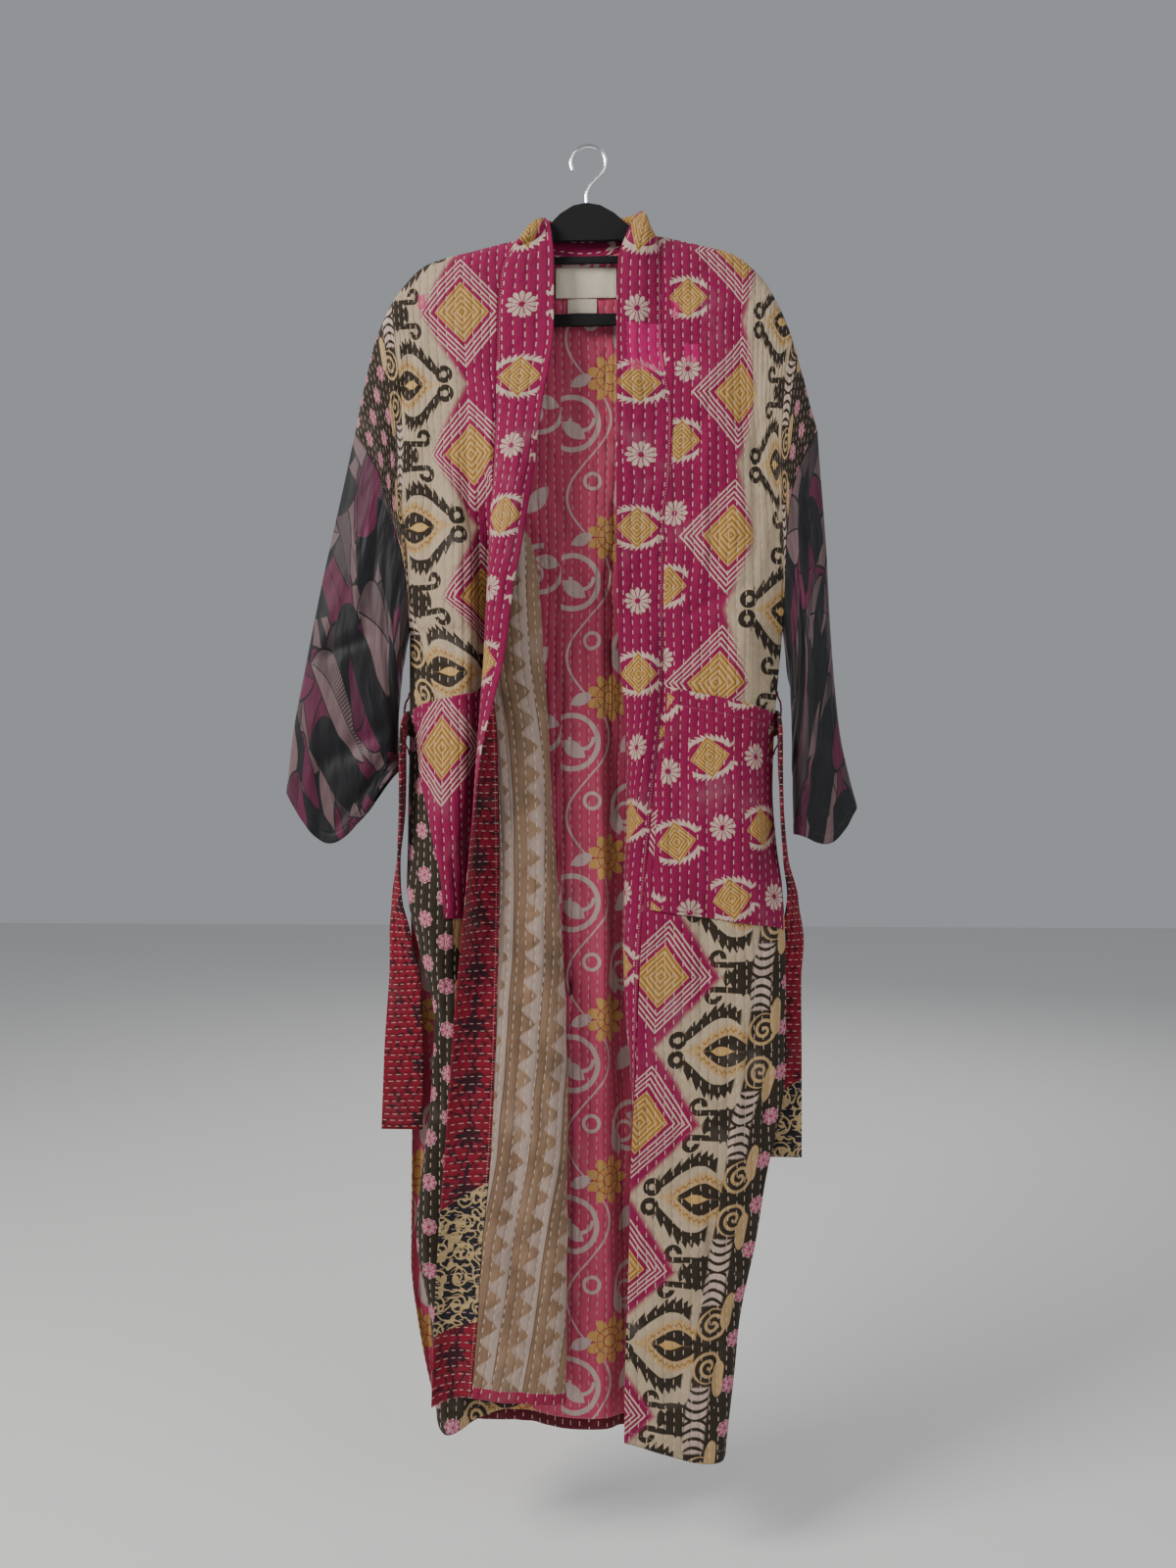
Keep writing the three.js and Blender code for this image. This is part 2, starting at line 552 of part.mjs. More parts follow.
// The neck band stands up from the back's neckline and meets the front bands beside the neck
const NECK_BAND = table(['across', 'x', 'y', 'z'], [
  [0, -49, -1, -82], [0.14, -50, 11, -78], [0.32, -30, 17, -77], [0.5, 2, 19, -77],
  [0.7, 36, 17, -75], [0.87, 58, 11, -72], [1, 60, -1, -76],
]);
const neckGrid = NECK_SHARES.map((share) => {
  const across = (share - NECK_SHARES[0]) / (NECK_SHARES[NECK_SHARES.length - 1] - NECK_SHARES[0]);
  const low = backTop(mix(LEFT_NECK_X, RIGHT_NECK_X, across));
  const high = vec(...['x', 'y', 'z'].map((n) => column(NECK_BAND, n, 'across')(across)));
  return [0, 0.33, 0.66, 1].map((share) => low.clone().lerp(high, share));
});
const neckSetback = { first: 0.6, top: 0.3, bottom: 0.3 };
add('band_neck', clothWall(neckGrid, QUILT_WALL, { setback: neckSetback }), materials.magenta);

// Sleeves: rings from the armhole to the cuff, each between its outer fold and its inner fold
const LEFT_SLEEVE = table(['down', 'outX', 'outZ', 'inX', 'inZ', 'front', 'back', 'hang'], [
  [0, -270, -328, -207, -560, 16, 14, 0], [0.15, -284, -391, -214, -596, 19, 16, 0],
  [0.38, -309, -506, -219, -640, 21, 18, 2], [0.58, -325, -586, -220, -668, 22, 18, 8],
  [0.8, -341, -669, -220, -694, 21, 18, 30], [1, -350, -745, -216, -716, 19, 16, 70],
]);
const RIGHT_SLEEVE = table(['down', 'outX', 'outZ', 'inX', 'inZ', 'front', 'back', 'hang'], [
  [0, 262, -330, 223, -560, 16, 14, 0], [0.15, 265, -376, 230, -600, 18, 16, 0],
  [0.38, 272, -464, 233, -650, 19, 18, 2], [0.58, 277, -560, 234, -694, 19, 18, 6],
  [0.8, 287, -672, 235, -752, 18, 17, 14], [1, 307, -762, 236, -792, 16, 15, 26],
]);
const RING_SHARES = [...YOKE_DROPS, 1];
const UNDERARM_ROOM = 1.4;
const SLEEVE_DOWNS = [0, 0.04, 0.1, 0.2, 0.31, 0.43, 0.55, 0.67, 0.79, 0.9, 1];
const ARMHOLE_GAP = 0.55;

function sleeveGrid(name, sleeveTable, armTable, sign) {
  const at = Object.fromEntries(
    ['outX', 'outZ', 'inX', 'inZ', 'front', 'back', 'hang'].map((n) => [n, column(sleeveTable, n, 'down')]));
  const armX = column(armTable, 'x');
  const chordX = (t) => mix(sleeveTable[0].outX, sleeveTable[0].inX, t);
  const steps = RING_SHARES.length - 1;
  return SLEEVE_DOWNS.map((down) => {
    const ring = [];
    for (let k = 0; k < 2 * steps; k += 1) {
      const face = k < steps ? -1 : 1;
      const t = RING_SHARES[k < steps ? k : 2 * steps - k];
      const room = UNDERARM_ROOM * smooth(0.85, 1, t) * (1 - down) ** 2;
      const armZ = mix(sleeveTable[0].outZ, sleeveTable[0].inZ, t);
      const bend = (armX(armZ) - chordX(t)) * (1 - down) ** 2;
      const depth = face < 0 ? at.front(down) : at.back(down);
      const hang = at.hang(down) * Math.sin(Math.PI * t ** 0.85) ** 1.4 * (face < 0 ? 1 : 0.86);
      const p = vec(
        mix(at.outX(down), at.inX(down), t) + bend + sign * (ARMHOLE_GAP + room),
        face * depth * fullness(t),
        mix(at.outZ(down), at.inZ(down), t) - hang - ARMHOLE_GAP * 0.4);
      const crease = down > 0 ? creaseDepth(name, p.x, p.z) * fullness(t) : 0;
      p.y += face < 0 ? crease : -crease * 0.6;
      ring.push(p);
    }
    return ring;
  });
}

const leftSleeveGrid = sleeveGrid('left_sleeve', LEFT_SLEEVE, LEFT_ARMHOLE, -1);
const rightSleeveGrid = sleeveGrid('right_sleeve', RIGHT_SLEEVE, RIGHT_ARMHOLE, 1);
add('sleeve_left', clothWall(leftSleeveGrid, SLEEVE_WALL, { wrap: true }), materials.mauve);
add('sleeve_right', clothWall(rightSleeveGrid, SLEEVE_WALL, { wrap: true }), materials.mauve);

// The depth of a panel at a place seen from the front, and the nearer of its layers there
function depthAt(grid, x, z) {
  let nearest = Infinity;
  const test = (a, b, c) => {
    const area = (b.x - a.x) * (c.z - a.z) - (c.x - a.x) * (b.z - a.z);
    if (Math.abs(area) < 1e-6) return;
    const u = ((x - a.x) * (c.z - a.z) - (c.x - a.x) * (z - a.z)) / area;
    const v = ((b.x - a.x) * (z - a.z) - (x - a.x) * (b.z - a.z)) / area;
    if (u < -1e-6 || v < -1e-6 || u + v > 1 + 1e-6) return;
    nearest = Math.min(nearest, a.y + u * (b.y - a.y) + v * (c.y - a.y));
  };
  for (let i = 0; i < grid.length - 1; i += 1) {
    for (let j = 0; j < grid[0].length - 1; j += 1) {
      test(grid[i][j], grid[i][j + 1], grid[i + 1][j + 1]);
      test(grid[i][j], grid[i + 1][j + 1], grid[i + 1][j]);
    }
  }
  return nearest;
}

const POCKET_LAY = QUILT_WALL + LAY_GAP;

// A point laid on a panel's own column at one height
function layOn(grid, j, z, lay) {
  const i = grid.findIndex((row, k) => k < grid.length - 1 && z > grid[k + 1][j].z);
  const t = (z - grid[i][j].z) / (grid[i + 1][j].z - grid[i][j].z);
  const pick = (k) => grid[i][k].clone().lerp(grid[i + 1][k], t);
  const out = pick(j + 1).sub(pick(j - 1)).cross(grid[i + 1][j].clone().sub(grid[i][j])).normalize();
  return pick(j).addScaledVector(out, out.y < 0 ? lay : -lay);
}

// Right pocket: it covers the panel's columns from the side seam's edge to the band's seam, with a
// slanted mouth and floor
const RIGHT_POCKET_COLUMNS = RIGHT_SHARES.map((_, j) => j).slice(2, -1);
const POCKET_MOUTH = [-656, -625];
const POCKET_FLOOR = [-900, -876];
const LOWEST_FULL_ROW = -822;
const rightPocketGrid = ['mouth', -690, -760, LOWEST_FULL_ROW, -880, 'floor'].map((level) => (
  RIGHT_POCKET_COLUMNS.map((j, k) => {
    const across = k / (RIGHT_POCKET_COLUMNS.length - 1);
    const mouth = mix(...POCKET_MOUTH, across);
    const floor = mix(...POCKET_FLOOR, across);
    const z = { mouth, floor }[level] ?? Math.max(level, mix(LOWEST_FULL_ROW, floor, 0.8));
    return layOn(rightFrontGrid, j, z, POCKET_LAY + 0.1);
  })));
add('pocket_right', clothWall(rightPocketGrid, QUILT_WALL), materials.magenta);

const SHARE_STEP = 0.004;

function outFrom(section, share, z, lay) {
  const along = section(share + SHARE_STEP, z).sub(section(share - SHARE_STEP, z));
  return section(share, z).addScaledVector(vec(along.y, -along.x, 0).normalize(), lay);
}

// Left pocket: it wraps round the panel's outward fold, so its edges are shares of the section
const LEFT_POCKET = table(['z', 'outer', 'inner'], [
  [-640, 0.1, 0.58], [-682, 0.125, 0.58], [-719, 0.15, 0.58], [-778, 0.2, 0.57], [-840, 0.255, 0.56],
  [-890, 0.275, 0.55],
]);
const LEFT_POCKET_MOUTH = [-648, -630];
const LEFT_POCKET_FLOOR = -886;
const leftPocketOuter = column(LEFT_POCKET, 'outer');
const leftPocketInner = column(LEFT_POCKET, 'inner');
const leftPocketGrid = [0, 0.08, 0.22, 0.36, 0.5, 0.64, 0.78, 0.9, 1].map((down) => (
  Array.from({ length: 15 }, (_, k) => k / 14).map((across) => {
    const z = mix(mix(...LEFT_POCKET_MOUTH, Math.min(across * 2, 1)), LEFT_POCKET_FLOOR, down);
    const share = mix(leftPocketOuter(z), leftPocketInner(z), across);
    return outFrom(leftFrontSection, share, z, POCKET_LAY + 1.1);
  })));
add('pocket_left', clothWall(leftPocketGrid, QUILT_WALL), materials.magenta);

// Blank labels inside the back of the neck
function patchGrid(left, right, top, bottom, lay) {
  return [0, 0.5, 1].map((down) => [0, 0.25, 0.5, 0.75, 1].map((across) => {
    const x = mix(left, right, across);
    const z = mix(top, bottom, down);
    return vec(x, depthAt(backGrid, x, z) - lay, z);
  }));
}
const LABEL_LAY = QUILT_WALL / 2 + LAY_GAP + LABEL_WALL / 2 + 0.1;
add('neck_label', clothWall(patchGrid(-38, 33, -136, -171, LABEL_LAY), LABEL_WALL), materials.label);
add('size_tag', clothWall(patchGrid(-24, 10, -171.4, -188, LABEL_LAY), LABEL_WALL), materials.label);

// The belt: a strip by its middle, the direction of its width and half its width
const BELT = table(['x', 'y', 'z', 'wx', 'wy', 'wz', 'half'], [
  [-216, 0, -1135, 1, 0, 0, 24], [-214, 0, -1053, 1, 0, 0, 23], [-213, 1, -962, 0.99, -0.12, 0, 19],
  [-219, 1, -905, 0.92, -0.4, 0, 14], [-222, -1, -868, 0.6, -0.8, 0, 12],
  [-218, -8, -820, 0.25, -0.97, 0, 12],
  [-213, -15, -760, 0.05, -1, 0, 13], [-212, -17, -700, 0, -1, 0, 14], [-212, -15, -680, 0, -0.9, 0.44, 14],
  [-211, -8, -668, 0, -0.5, 0.87, 14], [-210.6, 3, -664, 0, 0, 1, 14], [-205, 16, -664, 0, 0, 1, 17],
  [-188, 26, -664, 0, 0, 1, 20], [-150, 31, -666, 0, 0, 1, 23], [-70, 32, -671, 0, 0, 1, 24],
  [10, 32, -673, 0, 0, 1, 24], [90, 32, -670, 0, 0, 1, 24], [158, 31, -666, 0, 0, 1, 22],
  [196, 26, -664, 0, 0, 1, 19], [213, 16, -664, 0, 0, 1, 17], [218.2, 3, -664, 0, 0, 1, 14],
  [218.6, -8, -668, 0, -0.5, 0.87, 14], [219, -15, -680, 0, -0.9, 0.44, 14],
  [219, -17, -700, 0, -1, 0, 14],
  [221, -15, -760, -0.1, -1, 0, 13], [226, -8, -820, -0.25, -0.97, 0, 12], [235, -1, -868, -0.6, -0.8, 0, 12],
  [235, 1, -905, -0.92, -0.4, 0, 14], [226, 1, -960, -0.99, -0.12, 0, 19], [222, 0, -1050, -1, 0, 0, 23],
  [221, 0, -1162, -1, 0, 0, 24],
]);
const beltGrid = BELT.map((s) => {
  const width = vec(s.wx, s.wy, s.wz).normalize().multiplyScalar(s.half);
  return [-1, 0, 1].map((side) => vec(s.x, s.y, s.z).addScaledVector(width, side));
});
add('belt', clothWall(beltGrid, BELT_WALL), materials.crimson);

// Belt loops on the side seams: narrow strips that stand off the seam and let the belt through
const LOOP_FROM_Y = 1.5;
const LOOP_TO_Y = 8.5;
const LOOP_WALL = 1.4;
const LOOP = table(['out', 'z'], [[1.75, -628], [3, -634], [6.5, -640], [8, -648], [8.2, -664], [8, -681],
  [6.5, -689], [3, -695], [1.75, -701]]);
function loopGrid(sideX, outward) {
  return LOOP.map((s) => [LOOP_FROM_Y, LOOP_TO_Y].map((y) => vec(sideX(s.z) + outward * s.out, y, s.z)));
}
add('belt_loop_left', clothWall(loopGrid(leftFront.side, -1), LOOP_WALL), materials.crimson);
add('belt_loop_right', clothWall(loopGrid(rightFront.side, 1), LOOP_WALL), materials.magenta);

// Hanger: a flat velvet-covered frame with a small and a large opening
const HANGER_DROP = 6.2;
const hangerOutline = [
  [-211, -176], [-205, -162], [-195, -150], [-183, -141],
  ...[-165, -130, -100, -82].map((x) => [x, leftRidgeZ(x) - HANGER_DROP]),
  [-62, -108], [-46, -91], [-32, -77], [-17, -68], HANGER_PEAK, [14, -68], [30, -77], [45, -90], [60, -104],
  ...[80, 100, 130, 160].map((x) => [x, rightRidgeZ(x) - HANGER_DROP]),
  [180, -146], [190, -157], [197, -169], [199, -180], [197, -192], [189, -201], [178, -206], [-190, -206],
  [-203, -201], [-210, -192], [-213, -182],
];
const smallOpening = [[-60, -127], [56, -127], [54, -119], [38, -108], [-42, -108], [-58, -119]];
const largeOpening = [
  [-160, -150], [-188, -168], [-195, -183], [-186, -193], [170, -193], [181, -183], [175, -168], [148, -150],
  [90, -134], [-96, -134],
];
const hangerShape = new THREE.Shape(hangerOutline.map(([x, z]) => new THREE.Vector2(x, z)));
for (const hole of [smallOpening, largeOpening]) {
  hangerShape.holes.push(new THREE.Path(hole.map(([x, z]) => new THREE.Vector2(x, z))));
}
const hangerGeometry = new THREE.ExtrudeGeometry(hangerShape, { depth: HANGER_THICK, bevelEnabled: false });
hangerGeometry.rotateX(Math.PI / 2);
hangerGeometry.translate(0, HANGER_THICK / 2, 0);
add('hanger_body', hangerGeometry, materials.velvet);

// Hook: a wire that leaves the hanger's peak, swings to the right and goes over the crown
const crownCentre = vec(0, 0, WIRE_RADIUS - HOOK_RADIUS);
const hookPath = [
  vec(HANGER_PEAK[0], 0, HANGER_PEAK[1] + LAY_GAP), vec(HANGER_PEAK[0], 0, -54), vec(1, 0, -46), vec(9, 0, -37),
];
for (let step = 0; step <= 14; step += 1) {
  const angle = THREE.MathUtils.degToRad(mix(-30, 205, step / 14));
  hookPath.push(crownCentre.clone().add(vec(Math.cos(angle) * HOOK_RADIUS, 0, Math.sin(angle) * HOOK_RADIUS)));
}
const WIRE_SIDES = 8;
const wireRound = new THREE.Shape(Array.from({ length: WIRE_SIDES }, (_, k) => new THREE.Vector2(
  WIRE_RADIUS * Math.cos((2 * Math.PI * k) / WIRE_SIDES), WIRE_RADIUS * Math.sin((2 * Math.PI * k) / WIRE_SIDES))));
add('hanger_hook', new THREE.ExtrudeGeometry(wireRound, {
  steps: 40, bevelEnabled: false, extrudePath: new THREE.CatmullRomCurve3(hookPath, false, 'centripetal'),
}), materials.chrome);

export default kimono;
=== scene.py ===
"""A patchwork kimono robe of running-stitched cotton, open at the front, on a velvet hanger.

Cloth is laid out in millimetres, on the same tables as the CAD, and becomes metres in the meshes.
"Left" and "right" are as the front is looked at: left has x below zero.
"""

import math

import bpy
import numpy as np
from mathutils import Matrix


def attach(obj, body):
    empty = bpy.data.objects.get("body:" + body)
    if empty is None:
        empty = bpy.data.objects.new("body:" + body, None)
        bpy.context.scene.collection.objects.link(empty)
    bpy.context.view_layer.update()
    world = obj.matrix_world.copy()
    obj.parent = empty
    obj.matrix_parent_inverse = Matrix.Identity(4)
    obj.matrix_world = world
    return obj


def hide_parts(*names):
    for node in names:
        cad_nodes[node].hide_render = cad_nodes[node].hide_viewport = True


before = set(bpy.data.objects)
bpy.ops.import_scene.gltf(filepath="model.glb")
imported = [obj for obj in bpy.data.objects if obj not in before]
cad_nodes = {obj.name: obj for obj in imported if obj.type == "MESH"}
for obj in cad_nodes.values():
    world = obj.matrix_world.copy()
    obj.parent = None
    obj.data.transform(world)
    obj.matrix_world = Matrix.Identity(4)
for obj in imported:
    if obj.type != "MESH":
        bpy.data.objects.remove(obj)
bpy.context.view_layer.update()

METRES = 0.001

# Of the robe, in millimetres
QUILT_WALL = 1.8
SLEEVE_WALL = 1.0
UNDERARM_Z = -560
SLIT_TOP_Z = -820
NECK_LEFT, NECK_RIGHT = -76, 72
SHOULDER_LEFT, SHOULDER_RIGHT = -270, 262
BAND_WIDTH = 52
NECK_BAND_WIDTH = 36
HEM_DEPTH = 15
POCKET_WIDE, POCKET_LONG = 160, 250
HALF_BELT = 24
ARMHOLE_FRONT, ARMHOLE_BACK = -16, 14
STRAIGHT_ABOVE_Z = -1351

# A full turn as the cloth's waves and the prints were made with. The exact one would shift them.
WAVE_TURN = 6.28
PRINT_TURN = 6.2832


# ---------------------------------------------------------------- curves and tables
def smooth(a, b, x):
    t = np.clip((x - a) / (b - a), 0, 1)
    return t * t * (3 - 2 * t)


def mix(a, b, t):
    return a + (b - a) * t


def curve(xs, ys):
    """A smooth curve through points, without overshoot, for numbers or arrays."""
    order = np.argsort(xs)
    xs, ys = np.array(xs, float)[order], np.array(ys, float)[order]
    slopes = np.diff(ys) / np.diff(xs)
    before, after = np.append(slopes[:1], slopes), np.append(slopes, slopes[-1:])
    same_way = before * after > 0
    tangents = np.where(same_way, 2 * before * after / np.where(same_way, before + after, 1), 0)

    def at(x):
        x = np.clip(x, xs[0], xs[-1])
        i = np.clip(np.searchsorted(xs, x) - 1, 0, len(xs) - 2)
        h = xs[i + 1] - xs[i]
        t = (x - xs[i]) / h
        return (
            (1 + 2 * t) * (1 - t) ** 2 * ys[i]
            + t * (1 - t) ** 2 * h * tangents[i]
            + t * t * (3 - 2 * t) * ys[i + 1]
            + t * t * (t - 1) * h * tangents[i + 1]
        )

    return at


class Table:
    """Rows of numbers with named columns; each other column is a curve over the first."""

    def __init__(self, names, rows):
        first, *others = names.split()
        columns = np.array(rows, float).T
        setattr(self, first, columns[0])
        for name, values in zip(others, columns[1:]):
            setattr(self, name, curve(columns[0], values))


def points(*parts):
    """Coordinates joined to an array of points."""
    return np.stack(np.broadcast_arrays(*[np.asarray(p, float) for p in parts]), -1)


def unit(v):
    return v / np.maximum(np.linalg.norm(v, axis=-1, keepdims=True), 1e-9)


def finer(values, steps):
    """Values with evenly spaced ones between each two of them."""
    values = np.asarray(values, float)
    at = np.linspace(0, len(values) - 1, (len(values) - 1) * steps + 1)
    return np.interp(at, np.arange(len(values)), values)


def run_along(line):
    """How far along a line each of its points lies."""
    return np.append(0, np.cumsum(np.linalg.norm(np.diff(line, axis=0), axis=1)))


def spline(knots, share):
    """A centripetal curve through knots; each knot may be an array with one value a row."""
    p = np.stack([points(x, y) + np.zeros(share.shape + (2,)) for x, y in knots])
    p = np.concatenate([2 * p[:1] - p[1:2], p, 2 * p[-1:] - p[-2:-1]])
    at = share * (len(knots) - 1)
    i = np.clip(at.astype(int), 0, len(knots) - 2)
    w = (at - i)[..., None]
    p0, p1, p2, p3 = [np.take_along_axis(p, (i + k)[None, ..., None], 0)[0] for k in range(4)]
    pairs = ((p0, p1), (p1, p2), (p2, p3))
    d0, d1, d2 = [np.sum((b - a) ** 2, -1, keepdims=True) ** 0.25 for a, b in pairs]
    t1 = d1 * ((p1 - p0) / d0 - (p2 - p0) / (d0 + d1) + (p2 - p1) / d1)
    t2 = d1 * ((p2 - p1) / d1 - (p3 - p1) / (d1 + d2) + (p3 - p2) / d2)
    return p1 + t1 * w + (3 * (p2 - p1) - 2 * t1 - t2) * w**2 + (2 * (p1 - p2) + t1 + t2) * w**3


# Shoulder ridges, armhole seams and the seams of the front bands
LEFT_RIDGE = Table("x z", [
    (-76, -105), (-130, -118), (-185, -133), (-220, -167), (-245, -218), (-260, -278), (-270, -328),
])
RIGHT_RIDGE = Table("x z", [
    (72, -103), (120, -114), (163, -126), (197, -153), (225, -202), (242, -253), (254, -303),
    (262, -330),
])
LEFT_ARMHOLE = Table("z x", [
    (-328, -270), (-350, -254), (-380, -238), (-432, -224), (-480, -211), (-530, -206),
    (-560, -206),
])
RIGHT_ARMHOLE = Table("z x", [
    (-330, 262), (-355, 248), (-408, 231), (-450, 226), (-500, 224), (-560, 222),
])
LEFT_SEAM = Table("z x y", [
    (-105, -76, 0), (-118, -86, -9), (-149, -100, -15), (-215, -104, -19), (-300, -104, -24),
    (-390, -106, -32), (-435, -108, -38), (-503, -109, -44), (-600, -106, -45), (-700, -99, -45),
    (-844, -97, -45), (-988, -100, -45), (-1151, -107, -44), (-1259, -117, -43), (-1337, -122, -42),
    (-1423, -129, -42),
])
RIGHT_SEAM = Table("z x y", [
    (-103, 72, 0), (-116, 80, -9), (-149, 84, -15), (-230, 85, -20), (-320, 97, -25),
    (-392, 94, -27), (-433, 88, -28), (-621, 85, -29), (-760, 74, -29), (-887, 63, -29),
    (-960, 59, -29), (-1060, 55, -29), (-1154, 50, -29), (-1278, 47, -28), (-1403, 43, -27),
    (-1477, 42, -26),
])

# The panels in plan at each height
LEFT_FRONT = Table("z side fold roll sideY foldY recessY rollY lapelY", [
    (-330, -238, -150, -112, 0, -26, -25, -27, -30),
    (-380, -232, -142, -102, 0, -30, -25, -28, -33), (-424, -224, -137, -74, 0, -33, -17, -26, -38),
    (-469, -214, -136, -60, 0, -36, -13, -27, -43), (-560, -206, -135, -54, 0, -38, -12, -28, -46),
    (-660, -206, -137, -46, 0, -38, -12, -28, -46), (-780, -208, -146, -38, 0, -38, -12, -28, -46),
    (-850, -208, -152, -32, -8, -37, -12, -28, -46),
    (-920, -193, -155, -28, -16, -36, -12, -28, -46),
    (-1004, -174, -152, -25, -22, -34, -12, -28, -46),
    (-1099, -179, -150, -24, -20, -30, -12, -28, -45),
    (-1162, -187, -152, -24, -16, -29, -12, -28, -44),
    (-1249, -196, -156, -24, -14, -28, -12, -27, -43),
    (-1351, -179, -150, -24, -16, -28, -12, -27, -42),
    (-1460, -171, -146, -24, -18, -28, -12, -27, -42),
])
RIGHT_FRONT = Table("z side sideY outerY innerY", [
    (-330, 236, 0, -26, -27), (-420, 230, 0, -32, -29), (-560, 222, 0, -36, -31),
    (-668, 213, 0, -37, -32), (-740, 211, 0, -38, -33), (-800, 215, 0, -38, -34),
    (-860, 222, -6, -37, -34), (-912, 224, -12, -36, -34), (-1046, 225, -16, -36, -33),
    (-1097, 220, -17, -36, -33), (-1175, 203, -18, -37, -33), (-1251, 190, -19, -37, -33),
    (-1346, 171, -20, -37, -32), (-1387, 167, -21, -37, -32), (-1500, 154, -22, -36, -31),
])
BACK = Table("z left leftY waveX waveY turnX turnY right rightY fullY", [
    (-330, -238, 0, -22, 14, 10, 15, 236, 0, 17), (-420, -226, 0, -22, 11, 10, 13, 230, 0, 19),
    (-560, -206, 0, -22, 9, 11, 11, 222, 0, 22), (-668, -206, 0, -20, 7, 11, 9, 213, 0, 22),
    (-740, -207, 0, -20, 6, 12, 8, 211, 0, 22), (-800, -207, 0, -20, 5, 13, 8, 214, 0, 22),
    (-860, -208, 8, -18, 4, 15, 7, 217, 8, 23), (-912, -207, 12, -17, 3, 17, 6, 216, 12, 23),
    (-1046, -206, 14, -15, 2, 20, 5, 212, 14, 24), (-1175, -207, 15, -13, 1, 23, 5, 196, 15, 24),
    (-1290, -208, 15, -12, 1, 25, 5, 181, 15, 24), (-1375, -198, 15, -12, 1, 26, 5, 168, 15, 24),
    (-1485, -174, 14, -12, 1, 26, 5, 150, 14, 24),
])
LEFT_HEM = Table("share z", [
    (0, -1461), (0.2, -1472), (0.6, -1440), (0.75, -1434), (1, -1424),
])
RIGHT_HEM = Table("share z", [
    (0, -1494), (0.3, -1497), (0.6, -1490), (1, -1479),
])
BACK_HEM = Table("share z", [
    (0, -1474), (0.3, -1482), (0.5, -1479), (0.7, -1486), (1, -1480),
])

# Creases, each a line seen from the front: x1, z1, x2, z2, depth toward the wall, width. Those with a
# width of 12 and more are the CAD's too. The narrower ones are in this scene alone.
CREASES = {
    "left_sleeve": [
        (-205, -655, -318, -720, 6, 12), (-262, -350, -300, -620, 4, 14),
        (-240, -560, -330, -600, 4.5, 8), (-226, -700, -300, -800, 4.5, 7),
        (-270, -420, -262, -560, -3.6, 7), (-312, -640, -322, -830, -3.9, 8),
        (-250, -760, -262, -880, 3.9, 7), (-290, -480, -318, -560, 3, 6),
    ],
    "right_sleeve": [
        (232, -600, 296, -730, 5, 12), (250, -360, 262, -560, 5, 12),
        (240, -520, 280, -600, 3.9, 8), (236, -690, 286, -790, 3.9, 7),
        (262, -620, 276, -830, -3.6, 7), (246, -400, 252, -540, 3, 6),
        (250, -740, 262, -860, 3.3, 6),
    ],
    "right_front": [
        (172, -150, 190, -520, 4, 13), (150, -620, 128, -1180, 4, 18),
        (194, -184, 188, -558, 3.3, 5), (140, -294, 122, -600, -3, 6),
        (112, -910, 96, -1260, 3.6, 6), (178, -900, 158, -1300, -3.3, 7),
        (132, -1120, 148, -1490, 3.3, 6), (88, -556, 204, -500, 2.7, 6),
        (92, -250, 104, -520, 2.4, 5), (205, -1000, 196, -1230, 2.7, 5),
        (60, -930, 120, -890, 2.1, 5), (80, -1330, 86, -1480, -2.7, 6),
    ],
    "left_front": [
        (-178, -230, -186, -560, 3, 12), (-141, -217, -133, -640, 4.2, 6),
        (-104, -190, -108, -560, -3, 6), (-172, -330, -184, -620, 3, 5),
        (-196, -190, -226, -380, 3.3, 7), (-152, -900, -172, -1180, 3.6, 6),
        (-186, -920, -182, -1380, -3.3, 7), (-120, -700, -132, -1000, 3, 6),
        (-62, -640, -84, -1300, 3.3, 7), (-84, -760, -104, -1240, -2.7, 6),
        (-44, -900, -56, -1400, 2.7, 6), (-70, -1130, -40, -1180, 1.95, 6),
        (-98, -1290, -60, -1330, -2.1, 6),
    ],
    "back": [
        (-120, -260, -140, -1400, -6, 22), (120, -260, 110, -1400, -6, 26),
        (-8, -300, 6, -900, 3, 6), (22, -330, 14, -1440, -3.3, 6), (-36, -520, -20, -1380, 2.7, 7),
        (56, -240, 44, -700, 3, 6), (-70, -260, -86, -760, -3.3, 8), (96, -800, 84, -1440, 3.6, 7),
        (-104, -900, -92, -1440, 3.3, 7), (160, -500, 150, -1100, -3, 8),
        (-178, -420, -168, -980, 3, 8), (-150, -300, -40, -380, 2.7, 8),
        (40, -1080, 130, -1030, 2.25, 7), (-60, -1180, -150, -1240, 2.4, 8),
    ],
}


def crease_depth(panel, x, z):
    depth = np.zeros(np.shape(x))
    for x1, z1, x2, z2, deep, width in CREASES[panel]:
        dx, dz = x2 - x1, z2 - z1
        along = np.clip(((x - x1) * dx + (z - z1) * dz) / (dx * dx + dz * dz), 0, 1)
        off = ((x - x1) * dz - (z - z1) * dx) / math.hypot(dx, dz)
        depth += deep * np.sin(math.pi * along) * np.exp(-((off / width) ** 2))
    return depth


